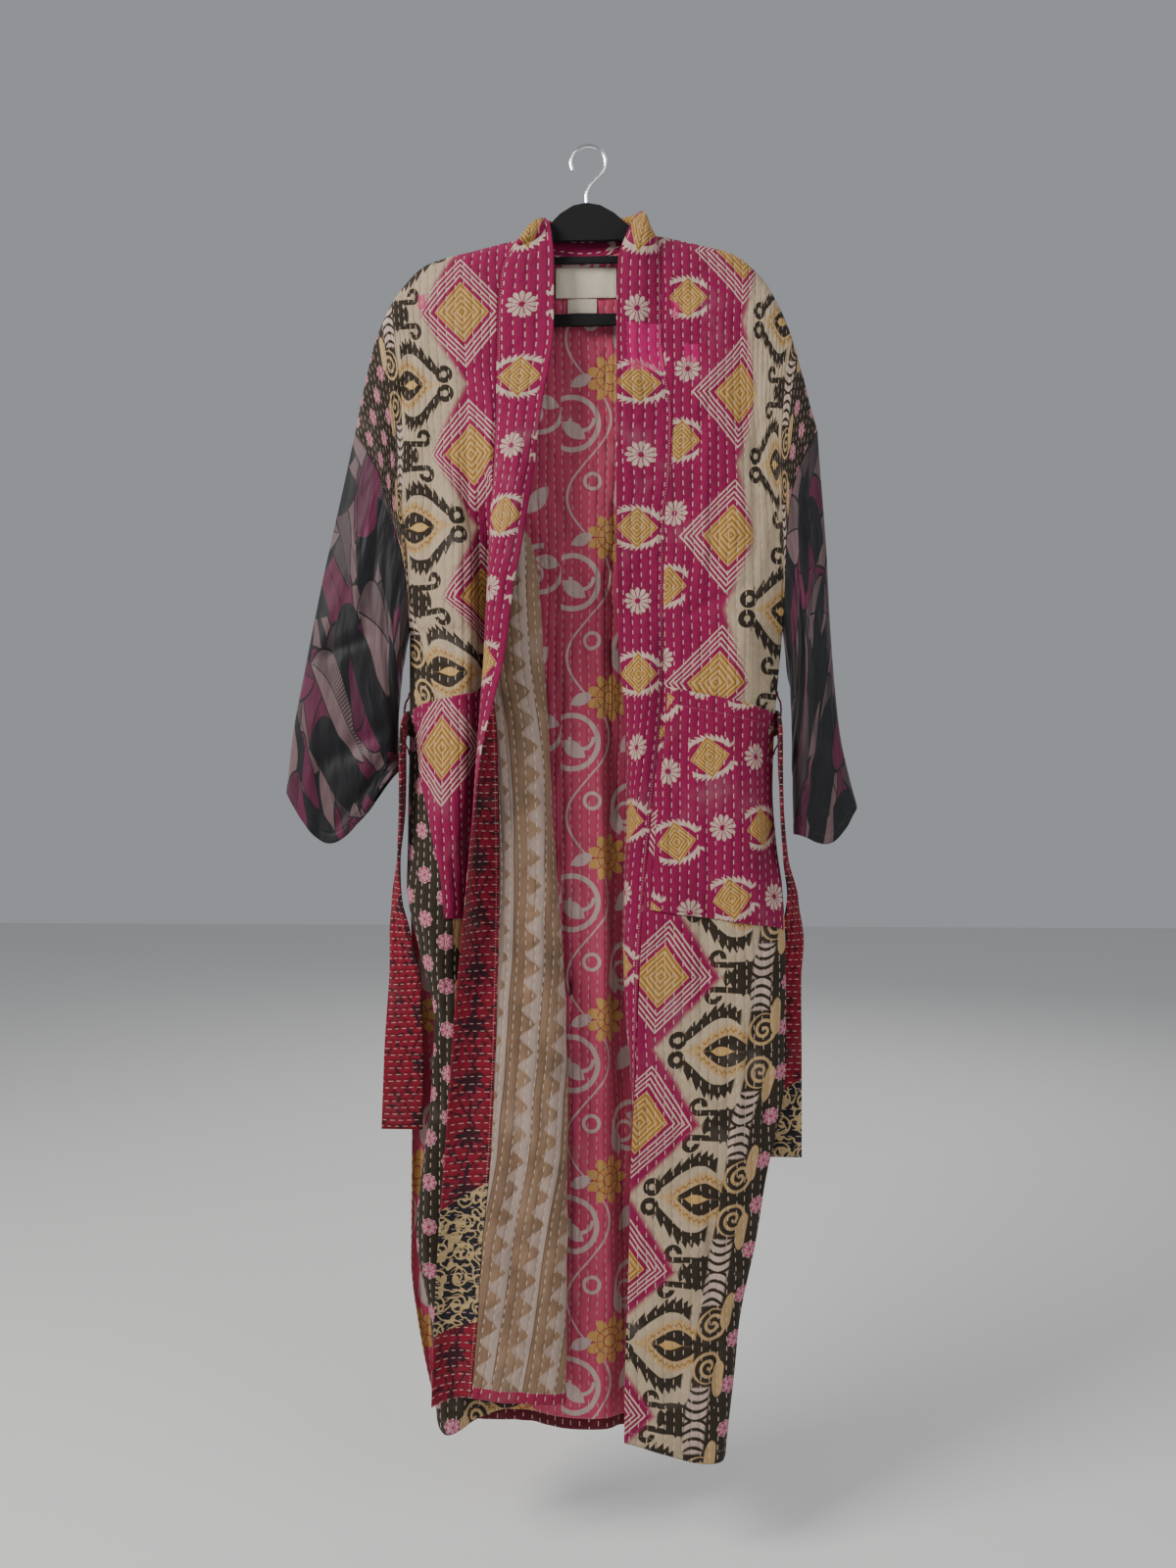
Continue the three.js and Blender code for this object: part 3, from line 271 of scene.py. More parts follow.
def left_front_section(share, z):
    t = LEFT_FRONT
    side, fold, roll, seam = t.side(z), t.fold(z), t.roll(z), LEFT_SEAM.x(z)
    edge_y, fold_y, recess_y = t.sideY(z), t.foldY(z), t.recessY(z)
    roll_y, lapel_y = t.rollY(z), t.lapelY(z)
    return spline([
        (side, edge_y), (side + 4, edge_y - 5),
        (mix(side, fold, 0.5), mix(edge_y, fold_y, 0.62) - 4), (fold, fold_y),
        (mix(fold, roll, 0.18), mix(fold_y, recess_y, 0.6)), (mix(fold, roll, 0.5), recess_y),
        (mix(fold, roll, 0.86), mix(recess_y, roll_y, 0.3)), (roll, roll_y),
        (mix(roll, seam, 0.25), mix(roll_y, lapel_y, 0.85)), (mix(roll, seam, 0.6), lapel_y),
        (seam, LEFT_SEAM.y(z)),
    ], share)


def right_front_section(share, z):
    t = RIGHT_FRONT
    side, seam, edge_y = t.side(z), RIGHT_SEAM.x(z), t.sideY(z)
    return spline([
        (side, edge_y), (side - 4, edge_y - 5), (mix(side, seam, 0.22), mix(edge_y, t.outerY(z), 0.8)),
        (mix(side, seam, 0.45), t.outerY(z)), (mix(side, seam, 0.75), t.innerY(z)),
        (seam, RIGHT_SEAM.y(z)),
    ], share)


def back_section(share, z):
    t = BACK
    left, right, full = t.left(z), t.right(z), t.fullY(z)
    return spline([
        (left, t.leftY(z)), (left + 4, t.leftY(z) + 5), (left + 45, full - 5), (left + 95, full),
        (t.waveX(z) - 22, mix(t.waveY(z), full, 0.35)), (t.waveX(z), t.waveY(z)),
        (t.turnX(z), t.turnY(z)), (t.turnX(z) + 14, full - 1), (t.turnX(z) + 50, full + 1),
        (right - 45, full - 4), (right - 4, t.rightY(z) + 5), (right, t.rightY(z)),
    ], share)


def fullness(t):
    return np.sqrt(np.maximum(1 - (2 * np.clip(t, 0, 1) - 1) ** 4, 0))


def armhole_point(armhole, depth, drop):
    z = mix(armhole.z[0], UNDERARM_Z, drop)
    return points(armhole.x(z), depth * fullness(drop), z)


def seam_point(seam, drop):
    z = mix(seam.z[0], UNDERARM_Z, drop)
    return points(seam.x(z), seam.y(z), z)


def front_yoke(share, drop, armhole, seam, ridge, section, fold_start, fold_end):
    """The yoke hangs from the ridge as a plain sheet, and takes the section's folds by the underarm."""
    edge, inner = armhole_point(armhole, ARMHOLE_FRONT, drop), seam_point(seam, drop)
    top_edge, top_inner = armhole_point(armhole, ARMHOLE_FRONT, 0 * drop), seam_point(seam, 0 * drop)
    straight = mix(top_edge[..., 2], top_inner[..., 2], share)
    lift = ridge.z(mix(top_edge[..., 0], top_inner[..., 0], share)) - straight
    sheet = mix(edge, inner, share[..., None])
    sheet[..., 2] += lift * (1 - drop)
    miss = edge[..., :2] - section(0 * share, edge[..., 2])
    folded = section(share, sheet[..., 2]) + miss * ((1 - share) ** 3)[..., None]
    sheet[..., :2] = mix(sheet[..., :2], folded, smooth(fold_start, fold_end, drop)[..., None])
    return sheet


def back_top(x):
    across = np.clip((x - NECK_LEFT) / (NECK_RIGHT - NECK_LEFT), 0, 1)
    bow = np.sin(math.pi * across)
    neck = mix(LEFT_RIDGE.z(NECK_LEFT), RIGHT_RIDGE.z(NECK_RIGHT), across) - 22 * bow
    z = np.where(x < NECK_LEFT, LEFT_RIDGE.z(x), np.where(x > NECK_RIGHT, RIGHT_RIDGE.z(x), neck))
    return points(x, 9 * np.abs(bow) ** 0.3 * (bow > 1e-9), z)


def back_yoke(share, drop):
    left = armhole_point(LEFT_ARMHOLE, ARMHOLE_BACK, drop)
    right = armhole_point(RIGHT_ARMHOLE, ARMHOLE_BACK, drop)
    top = back_top(mix(SHOULDER_LEFT, SHOULDER_RIGHT, share))
    level = mix(top[..., 2], UNDERARM_Z, drop)
    folded = back_section(share, level)
    over_hanger = 5.4 * np.sqrt(np.minimum(1, drop / 0.02))
    blended = mix(top[..., 1], folded[..., 1], smooth(0, 0.25, drop))
    depth = np.maximum(np.maximum(top[..., 1], over_hanger), blended)
    near = np.maximum(np.maximum(1 - share * 12, 1 - (1 - share) * 12), 0)
    edge = np.where((share < 0.5)[..., None], left, right)
    shift = mix(left[..., 0] - BACK.left(level), right[..., 0] - BACK.right(level), share)
    x = mix(mix(left[..., 0], right[..., 0], share), folded[..., 0] + shift, smooth(0.3, 0.9, drop))
    return points(x, np.where(drop == 0, top[..., 1], mix(depth, edge[..., 1], near)), level)


YOKE_DROPS = [0, 0.012, 0.045, 0.12, 0.25, 0.4, 0.55, 0.68, 0.8, 0.9, 0.96, 0.99]


def even_shares(section, count, fixed=()):
    """Shares that lie evenly along a section at the waist, with closer ones at both edges."""
    dense = np.linspace(0, 1, 600)
    line = section(dense, np.full(600, -800.0))
    run = run_along(line)
    at = np.concatenate([[0.6, 1.6], np.linspace(0, run[-1], count), [run[-1] - 1.6, run[-1] - 0.6]])
    return np.sort(np.append(np.interp(at, run, dense), fixed))


def wander(u, v, seed):
    """Small uneven rises of handled cloth, from crossing waves of many sizes, about 1 high."""
    numbers = np.random.default_rng(seed)
    total = np.zeros(np.broadcast(u, v).shape)
    for size in (150, 90, 55, 34, 22):
        for _ in range(3):
            turn, phase = numbers.uniform(-0.8, 0.8), numbers.uniform(0, WAVE_TURN)
            way = u * math.cos(turn) + v * 0.4 * math.sin(turn)
            total += size**0.5 * np.sin(way * WAVE_TURN / size + phase)
    return total / 17


def panel_grid(shares, yoke, section, hem, panel, seed):
    drops = finer(YOKE_DROPS, 8)
    share, drop = np.meshgrid(shares, drops)
    upper = yoke(share, drop)
    steps = np.append(np.linspace(0, 0.985, 225), [0.992, 0.997, 1])
    share, step = np.meshgrid(shares, steps)
    end = mix(STRAIGHT_ABOVE_Z, hem.z(share), smooth(0.75, 1, step))
    z = mix(UNDERARM_Z, end, step)
    lower = np.dstack([section(share, z), z])
    grid = np.concatenate([upper, lower])
    inside = np.minimum(1, 4 * np.sin(math.pi * np.clip(shares, 0, 1)))
    below = smooth(0, 8, np.arange(len(grid)))[:, None]
    grid[..., 1] += crease_depth(panel, grid[..., 0], grid[..., 2]) * inside * below
    run = run_across(grid, 0)
    calm = smooth(0, 40, np.arange(len(grid)))[:, None] * inside
    return grid + facing(grid) * (0.8 * wander(run, grid[..., 2], seed) * calm)[..., None]


def facing(grid, wrap=False):
    """The cloth's own facing at each point: its way across times its way down."""
    if wrap:
        across = np.roll(grid, -1, 1) - np.roll(grid, 1, 1)
    else:
        across = np.gradient(grid, axis=1)
    return unit(np.cross(across, np.gradient(grid, axis=0)))


def seam_facing(line, outward):
    """The facing along a seam that two cloths share, square to it and to the front-back direction."""
    turned = unit(np.cross(np.gradient(line, axis=0), (0, 1, 0)))
    return turned * np.sign(np.sum(turned * np.array(outward), -1, keepdims=True))


# ---------------------------------------------------------------- meshes
def run_across(grid, start):
    """Cloth widths in millimetres from one column, along each row."""
    run = np.cumsum(np.linalg.norm(np.diff(grid, axis=1, prepend=grid[:, :1]), axis=2), 1)
    return run - run[:, start : start + 1]


def cloth(name, grid, wall, finishes, uv, line, wrap=False, normals=None, lengths=False):
    """A closed shell of cloth over a grid. finishes are the materials of its two faces, first the one
    that the grid's facing shows; uv is one map of the flat cloth in millimetres, or a pair with one for
    each face, and line how far each point is from the stitched line of a hem or edge. lengths says that
    the CAD has the piece in three."""
    rows, cols = grid.shape[:2]
    normal = facing(grid, wrap) if normals is None else normals
    offset = normal * (wall * np.ones((rows, cols)))[..., None] / 2
    verts = np.concatenate([(grid + offset).reshape(-1, 3), (grid - offset).reshape(-1, 3)]) * METRES
    spans = cols if wrap else cols - 1
    i, j = np.meshgrid(np.arange(rows - 1), np.arange(spans), indexing="ij")
    i, j = i.ravel(), j.ravel()
    k = (j + 1) % cols if wrap else j + 1
    back = rows * cols
    front_quads = np.stack([i * cols + j, i * cols + k, (i + 1) * cols + k, (i + 1) * cols + j], 1)
    back_quads = back + front_quads[:, ::-1]
    # where gives each corner's place in the maps, which have a column more than a closed ring
    across = spans + 1
    at = i * across + j
    wide = np.stack([at, at + 1, at + across + 1, at + across], 1)
    quads, where = [front_quads, back_quads], [wide, wide[:, ::-1]]
    end = (rows - 1) * cols
    js = np.arange(spans)
    ks = (js + 1) % cols if wrap else js + 1
    quads += [
        np.stack([js, back + js, back + ks, ks], 1),
        end + np.stack([js, ks, back + ks, back + js], 1),
    ]
    where += [
        np.stack([js, js, js + 1, js + 1], 1),
        (rows - 1) * across + np.stack([js, js + 1, js + 1, js], 1),
    ]
    if not wrap:
        down = np.arange(rows - 1) * cols
        last = down + cols - 1
        quads += [
            np.stack([down, down + cols, back + down + cols, back + down], 1),
            np.stack([last, back + last, back + last + cols, last + cols], 1),
        ]
        where += [
            np.stack([down, down + cols, down + cols, down], 1),
            np.stack([last, last, last + cols, last + cols], 1),
        ]
    quads, where = np.concatenate(quads), np.concatenate(where)
    mesh = bpy.data.meshes.new(name + "_cloth")
    mesh.from_pydata(verts, [], quads)
    obj = bpy.data.objects.new(name + "_cloth", mesh)
    bpy.context.scene.collection.objects.link(obj)
    for finish in finishes:
        mesh.materials.append(finish)
    face = len(front_quads)
    shown = np.zeros(len(quads), int)
    shown[face : 2 * face] = 1
    mesh.polygons.foreach_set("material_index", shown)
    mesh.polygons.foreach_set("use_smooth", np.ones(len(quads), bool))
    both = uv if isinstance(uv, tuple) else (uv, uv)
    maps = [np.broadcast_to(flat, (rows, across, 2)).reshape(-1, 2) for flat in both]
    corners = np.where(shown[:, None, None] == 1, maps[1][where], maps[0][where])
    layer = mesh.uv_layers.new(name="cloth")
    layer.data.foreach_set("uv", (corners * METRES).astype(np.float32).ravel())
    stitched = mesh.attributes.new("edge_line", "FLOAT", "POINT")
    far = np.broadcast_to(line, (rows, cols))
    stitched.data.foreach_set("value", np.tile(far.ravel() * METRES, 2).astype(np.float32))
    mesh.validate()
    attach(obj, "root")
    replaced = [f"{name}_{length}" for length in ("yoke", "waist", "skirt")] if lengths else [name]
    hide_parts(*replaced)


# ---------------------------------------------------------------- dyes, prints and stitches
class Number:
    """A number in a shader. Sums and comparisons of it become nodes."""

    def __init__(self, dye, socket):
        self.dye, self.socket = dye, socket

    def __rsub__(self, other):
        return self.dye.math("SUBTRACT", other, self)


def calculation(operation):
    return lambda number, *others: number.dye.math(operation, number, *others)


for method, operation in (
    ("__add__", "ADD"), ("__radd__", "ADD"), ("__sub__", "SUBTRACT"), ("__mul__", "MULTIPLY"),
    ("__rmul__", "MULTIPLY"), ("__truediv__", "DIVIDE"), ("__abs__", "ABSOLUTE"),
    ("__lt__", "LESS_THAN"), ("__gt__", "GREATER_THAN"), ("floor", "FLOOR"), ("sin", "SINE"),
    ("cos", "COSINE"), ("root", "SQRT"), ("most", "MAXIMUM"),
):
    setattr(Number, method, calculation(operation))


class Dye:
    """A cloth or other finish: its nodes, and the flat cloth's coordinates in millimetres."""

    def __init__(self, name, rough=0.88):
        self.material = bpy.data.materials.new(name)
        self.material.use_nodes = True
        self.tree = self.material.node_tree
        self.shader = self.tree.nodes["Principled BSDF"]
        self.shader.inputs["Roughness"].default_value = rough
        place = self.node("ShaderNodeUVMap", {"uv_map": "cloth"}).outputs["UV"]
        split = self.node("ShaderNodeSeparateXYZ", {}, Vector=place).outputs
        self.u, self.v = Number(self, split["X"]) * 1000, Number(self, split["Y"]) * 1000
        line = self.node("ShaderNodeAttribute", {"attribute_name": "edge_line"})
        self.edge_line = Number(self, line.outputs["Fac"]) * 1000
        self.height = 0

    def node(self, kind, settings=None, **inputs):
        node = self.tree.nodes.new(kind)
        for name, value in (settings or {}).items():
            setattr(node, name, value)
        for name, value in inputs.items():
            self.feed(node.inputs[name], value)
        return node

    def feed(self, socket, value):
        if isinstance(value, Number):
            value = value.socket
        if isinstance(value, bpy.types.NodeSocket):
            self.tree.links.new(value, socket)
        else:
            socket.default_value = value

    def math(self, operation, *values):
        node = self.tree.nodes.new("ShaderNodeMath")
        node.operation = operation
        for socket, value in zip(node.inputs, values):
            self.feed(socket, value)
        return Number(self, node.outputs[0])

    def zigzag(self, value, top):
        """The value folded to and fro between 0 and top."""
        return self.math("PINGPONG", value, top)

    def inside(self, distance):
        """A mask that is 1 below zero, with an edge one millimetre soft."""
        return self.ramp(0.5, -0.5, distance)

    def ramp(self, low, high, value):
        """A smooth step from 0 at low to 1 at high; low may be the greater."""
        node = self.tree.nodes.new("ShaderNodeMapRange")
        node.interpolation_type = "SMOOTHSTEP"
        self.feed(node.inputs["Value"], value)
        node.inputs["From Min"].default_value, node.inputs["From Max"].default_value = low, high
        return Number(self, node.outputs["Result"])

    def over(self, base, mask, colour):
        """One colour printed over another where the mask is 1."""
        node = self.node("ShaderNodeMix", {"data_type": "RGBA"})
        self.feed(node.inputs[0], mask)
        for socket, value in ((node.inputs[6], base), (node.inputs[7], colour)):
            self.feed(socket, (*value, 1) if isinstance(value, tuple) else value)
        return node.outputs[2]

    def speckle(self, size, detail=2.0, stretch=(1, 1)):
        """Noise from 0 to 1 with grains of about that size in millimetres."""
        x, y = self.u * (stretch[0] / size), self.v * (stretch[1] / size)
        where = self.node("ShaderNodeCombineXYZ", {}, X=x, Y=y).outputs[0]
        flat = {"noise_dimensions": "2D"}
        noise = self.node("ShaderNodeTexNoise", flat, Vector=where, Scale=1.0, Detail=detail)
        return Number(self, noise.outputs["Fac"])

    def chance(self, number):
        """A random value from 0 to 1 for a whole number."""
        noise = self.node("ShaderNodeTexWhiteNoise", {"noise_dimensions": "1D"}, W=number)
        return Number(self, noise.outputs["Value"])

    def angle(self, x, y):
        return self.math("ARCTAN2", y, x)

    def turned(self, x, y, degrees):
        c, s = math.cos(math.radians(degrees)), math.sin(math.radians(degrees))
        return x * c + y * s, y * c - x * s

    def stitches(self, colour, across, along, thread=(0.6, 0.44, 0.36), row=10.2, step=10.6, length=5.2,
                 shown=0.85):
        """Rows of running stitch, each row a little uneven, with the cloth puckered along them."""
        across = across + (self.speckle(70, 1.0) - 0.5) * 5
        number = (across / row).floor()
        off = across - (number + 0.5) * row
        run = along + self.chance(number) * step + (self.speckle(9, 0.0) - 0.5) * 2.5
        on = self.zigzag(run, step / 2)
        thread_on = self.ramp(0.72, 0.3, abs(off)) * self.ramp(length / 2 + 0.4, length / 2 - 0.4, on)
        self.height = self.height + thread_on * 0.35 - self.ramp(3.4, 0.0, abs(off)) * 0.75
        self.height = self.height + (self.speckle(7, 1.0, (1, 0.7)) - 0.5) * 1.1
        self.height = self.height + (self.speckle(24, 1.0, (1, 0.6)) - 0.5) * 2.6
        return self.over(colour, thread_on * shown, thread)

    def topstitch(self, colour, thread=(0.5, 0.4, 0.36)):
        """The machine stitching along hems and edges."""
        steps = self.ramp(0.9, 1.3, self.zigzag(self.u + self.v, 1.6))
        on = self.ramp(0.55, 0.3, abs(self.edge_line)) * steps
        near = self.ramp(3.5, 0.0, abs(self.edge_line))
        self.height = self.height - near * 0.35
        return self.over(colour, on * 0.75, thread)

    def worn(self, colour, amount=0.16):
        """Cloth a little faded and darkened in uneven places."""
        patch = self.speckle(60, 3.0)
        colour = self.over(colour, self.ramp(0.55, 0.9, patch) * amount, (0.4, 0.34, 0.31))
        return self.over(colour, self.ramp(0.5, 0.2, patch) * amount, (0.01, 0.008, 0.008))

    def finish(self, colour, sheen=0.08, weave=0.06):
        weave_height = (self.speckle(0.9, 0.0, (1, 0.5)) + self.speckle(0.9, 0.0, (0.5, 1))) * weave
        height = (weave_height + self.height) * METRES
        bump = self.node("ShaderNodeBump", {}, Height=height, Strength=1.0, Distance=1.0)
        self.feed(self.shader.inputs["Normal"], bump.outputs["Normal"])
        self.feed(self.shader.inputs["Base Color"], colour)
        self.shader.inputs["Sheen Weight"].default_value = sheen
        self.shader.inputs["Specular IOR Level"].default_value = 0.25
        return self.material


MAGENTA = (0.23, 0.003, 0.055)
CREAM = (0.5, 0.37, 0.3)
GOLD = (0.5, 0.3, 0.1)
OCHRE = (0.27, 0.13, 0.025)
TAN = (0.43, 0.28, 0.13)
GROUND = (0.43, 0.33, 0.22)
OLIVE = (0.026, 0.018, 0.01)


def ring(dye, x, y, radius, half):
    return dye.ramp(half + 0.5, half - 0.3, abs((x * x + y * y).root() - radius))


def diamond(dye, colour, x, y, wide, high, outer=True):
    """Nested diamonds: ochre lines on gold inside, and cream lines outside."""
    size = abs(x) / wide + abs(y) / high
    colour = dye.over(colour, dye.ramp(0.55, 0.53, size), GOLD)
    lines = dye.ramp(0.022, 0.034, dye.zigzag(size + 0.01, 0.055))
    colour = dye.over(colour, lines * dye.ramp(0.54, 0.5, size), OCHRE)
    if outer:
        band = dye.ramp(0.61, 0.63, size) * dye.ramp(1.02, 1.0, size)
        white = dye.ramp(0.024, 0.034, dye.zigzag(size - 0.01, 0.05))
        colour = dye.over(colour, band * white, CREAM)
    return colour


def eye(dye, colour, x, y):
    """A flame-crested eye round a small diamond, open at one end where its arms curl."""
    turn = dye.angle(x + 6, y)
    around = ((x + 6) * (x + 6) * 0.8 + y * y * 1.25 + abs(y) * 9).root()
    teeth = dye.zigzag(abs(turn) * 4.4 - around * 0.13, 0.5) * 10
    crest = dye.ramp(24.5, 25.5, around) * dye.ramp(0.6, -0.4, around - 28.5 - teeth)
    crest = crest * (1 - dye.ramp(0.34, 0.26, abs(turn)))
    curls = ring(dye, x - 31, abs(y) - 10, 5, 1.9) * (1 - (x < 29) * ((abs(y) - 10) < 0))
    colour = dye.over(colour, crest.most(curls), CREAM)
    return diamond(dye, colour, x + 4, y, 42, 44, outer=False)


def daisy(dye, colour, x, y, radius, petals, petal=CREAM, heart=MAGENTA):
    turn = dye.angle(x, y)
    far = (x * x + y * y).root()
    wave = abs((turn * (petals / 2)).cos())
    leaf = dye.ramp(0.7, -0.5, far - radius * (0.72 + 0.28 * wave))
    leaf = leaf * dye.ramp(0.22, 0.42, wave * (far / radius + 0.35))
    colour = dye.over(colour, leaf, petal)
    return dye.over(colour, dye.ramp(radius * 0.24, radius * 0.18, far), heart)


REPEAT = 165


def nearest(value, repeat):
    """The number of the nearest repeat."""
    return (value / repeat + 0.5).floor()


def repeated(value, repeat):
    """Distance from the middle of the nearest repeat."""
    return value - nearest(value, repeat) * repeat


def faded(dye, to=(0.19, 0.003, 0.045)):
    """The magenta ground, uneven in large patches."""
    return dye.over(MAGENTA, dye.ramp(0.4, 0.75, dye.speckle(90, 2.0)) * 0.35, to)


def field(dye, colour, x, y):
    """Columns of eyes and daisies by turns, the next column half a repeat lower."""
    column = nearest(x, 50)
    cx, cy = x - column * 50, y - dye.zigzag(column, 1) * (REPEAT / 2)
    colour = eye(dye, colour, cx, repeated(cy, REPEAT))
    return daisy(dye, colour, cx + 3, repeated(cy - REPEAT / 2, REPEAT), 15, 12)


def curve_number(dye, table, value):
    """A line through the table's points, by straight pieces."""
    total = float(table[0][1])
    for (x1, y1), (x2, y2) in zip(table, table[1:]):
        piece = dye.node("ShaderNodeMapRange", {"clamp": True}, Value=value)
        for name, number in (("From Min", x1), ("From Max", x2), ("To Max", y2 - y1)):
            piece.inputs[name].default_value = number
        total = Number(dye, piece.outputs["Result"]) + total
    return total


def darned(dye, colour, patches):
    """Brighter patches of close darning. Each is x1, x2, y1, y2 in the print's own millimetres."""
    for x1, x2, y1, y2 in patches:
        ragged = (dye.speckle(3, 1.0) - 0.5) * 5
        across = dye.inside(abs(dye.u - (x1 + x2) / 2) - (x2 - x1) / 2 + ragged)
        down = dye.inside(abs(dye.v - (y1 + y2) / 2) - (y2 - y1) / 2 + ragged)
        threads = dye.ramp(0.15, 0.4, dye.zigzag(dye.u * 0.6, 0.5)) * 0.25 + 0.6
        colour = dye.over(colour, across * down * threads, (0.5, 0.008, 0.13))
    return colour


def band_print(name, middle, start, patches=()):
    """The bands: one column of eyes and daisies of the same field, cut through at the seams."""
    dye = Dye(name)
    colour = faded(dye)
    colour = darned(dye, field(dye, colour, middle - dye.u, dye.v - start), patches)
    return dye.finish(dye.topstitch(dye.stitches(dye.worn(colour), dye.u, dye.v)))


def outer_print(name, edge, start, reach=(118, 78), patches=()):
    """The outside cloth: a magenta field of eyes and daisies, a row of large nested diamonds, and the
    border past a fringed zigzag. edge is the border's dark edge over the height, start its first
    repeat, and reach how far the border comes inward between its points, above and below."""
    dye = Dye(name)
    line = curve_number(dye, edge, dye.v)
    inward = line - dye.u if edge[0][1] > 0 else dye.u - line
    y = dye.v - start
    colour = faded(dye)
    colour = field(dye, colour, 213 - inward, y + REPEAT * 0.66)
    beside = dye.ramp(196, 194, inward)
    colour = dye.over(colour, beside, MAGENTA)
    colour = diamond(dye, colour, 150 - inward, repeated(y, REPEAT), 60, 66)
    swing = dye.zigzag(y, REPEAT / 2) / (REPEAT / 2)
    near = reach[0] + dye.ramp(500, 900, dye.v) * (reach[1] - reach[0])
    hatch = dye.zigzag(y * 0.45 + inward * 0.25, 0.5) * 14
    zigzag = near + (145 - near) * swing + hatch
    outside = dye.ramp(3.5, -3.5, inward - zigzag)
    colour = dye.over(colour, outside, border(dye, inward, y - REPEAT / 2))
    colour = darned(dye, dye.worn(colour), patches)
    colour = dye.stitches(colour, dye.u, dye.v)
    return dye.finish(dye.topstitch(colour))


def spiral(dye, x, y, size, turns, half):
    far = (x * x + y * y).root()
    turn = dye.angle(x, y) * (1 / PRINT_TURN)
    lane = dye.zigzag(far * (turns / size) - turn, 0.5)
    return dye.ramp(half, half - 0.12, lane) * dye.ramp(size + 0.5, size - 0.5, far)


def border(dye, x, y):
    """The border's ground and motifs: crested lotus heads that point inward, spirals and crescents,
    and a dark edge with small daisies. x runs from the dark edge inward, y along it."""
    colour = dye.over(GROUND, dye.ramp(0.45, 0.75, dye.speckle(25, 2.0)) * 0.3, (0.3, 0.22, 0.14))
    half = abs(repeated(y, REPEAT))
    # dark crests round the head, and the dark leaf between two repeats
    crest_off = half - 33 * dye.ramp(20, 70, x) * dye.ramp(128, 74, x) - 3
    teeth = dye.zigzag(x * 0.13 + half * 0.05, 0.5) * 12
    dark = dye.inside(crest_off - 12 - teeth * 1.25) * dye.ramp(0.5, 1.5, crest_off)
    dark = dark * dye.ramp(52, 56, x) * dye.ramp(124, 112, x)
    leaf = dye.inside(REPEAT / 2 - half - (82 - x) * 0.5 - dye.zigzag(x * 0.1, 0.5) * 15)
    leaf = leaf * dye.ramp(30, 34, x) * dye.ramp(82, 76, x)
    curls = ring(dye, x - 88, half - 62, 7, 3) * (1 - (x < 88) * (half > 62))
    curls = curls.most(ring(dye, x - 123, half - 11, 7, 3.2))
    stalk = dye.ramp(3.8, 3, abs(half - 68 - (x - 60) * 0.03))
    curls = curls.most(stalk * dye.ramp(40, 44, x) * dye.ramp(90, 86, x))
    colour = dye.over(colour, dark.most(leaf).most(curls), OLIVE)
    # the lotus head
    head = half - 30 * dye.ramp(14, 66, x) * dye.ramp(120, 64, x)
    colour = dye.over(colour, dye.inside(head), TAN)
    fringe = dye.zigzag(x * 0.17, 0.5) * 8
    colour = dye.over(colour, dye.ramp(1.4, 0.8, abs(head + 4 + fringe)) * dye.ramp(102, 98, x), OCHRE)
    colour = dye.over(colour, dye.inside(head + 12) * dye.ramp(96, 90, x), OLIVE)
    colour = dye.over(colour, dye.inside(half - 5 * dye.ramp(56, 72, x) * dye.ramp(86, 76, x)), GOLD)
    # spirals at both sides of its stalk and stacked crescents between repeats
    shade = dye.inside(x - 62 + dye.ramp(20, 60, half) * 22)
    near = dye.ramp(46, 43, x) * shade
    colour = dye.over(colour, near, OLIVE)
    colour = dye.over(colour, spiral(dye, x - 26, half - 23, 19, 2.2, 0.27), TAN)
    arcs = dye.zigzag(half + (x - 34) * (x - 34) * 0.035, 5.2)
    stack = dye.ramp(1.6, 2.4, arcs) * dye.ramp(44, 47, half) * dye.ramp(14, 10, abs(x - 34))
    colour = dye.over(colour, stack, CREAM)
    petal = ((x - 12) * (x - 12) / 60 + (half - 38) * (half - 38) / 420).root()
    colour = dye.over(colour, dye.ramp(1.05, 0.95, petal), TAN)
    # the edge and its daisies
    colour = dye.over(colour, dye.ramp(7, 6, x), OLIVE)
    column = nearest(x + 2, 25)
    ex, ey = x + 2 - column * 25, repeated(y - dye.zigzag(column, 1) * 25, 50)
    far = (ex * ex + ey * ey).root()
    outline = dye.ramp(10.6, 10, far + abs((dye.angle(ex, ey) * 4).sin()) * 1.6)
    colour = dye.over(colour, (x < 14) * outline, (0.5, 0.3, 0.3))
    flower = daisy(dye, (0.3, 0.02, 0.09), ex, ey, 7.5, 8, (0.48, 0.22, 0.26), (0.3, 0.02, 0.09))
    return dye.over(colour, (x < 14) * dye.ramp(8.6, 8.2, far), flower)


def turned_hem(dye, over=0.0):
    """A mask of the hem that is turned up inside, for the skirt's end only."""
    return dye.inside(dye.edge_line + over) * dye.ramp(1300, 1302, dye.v)


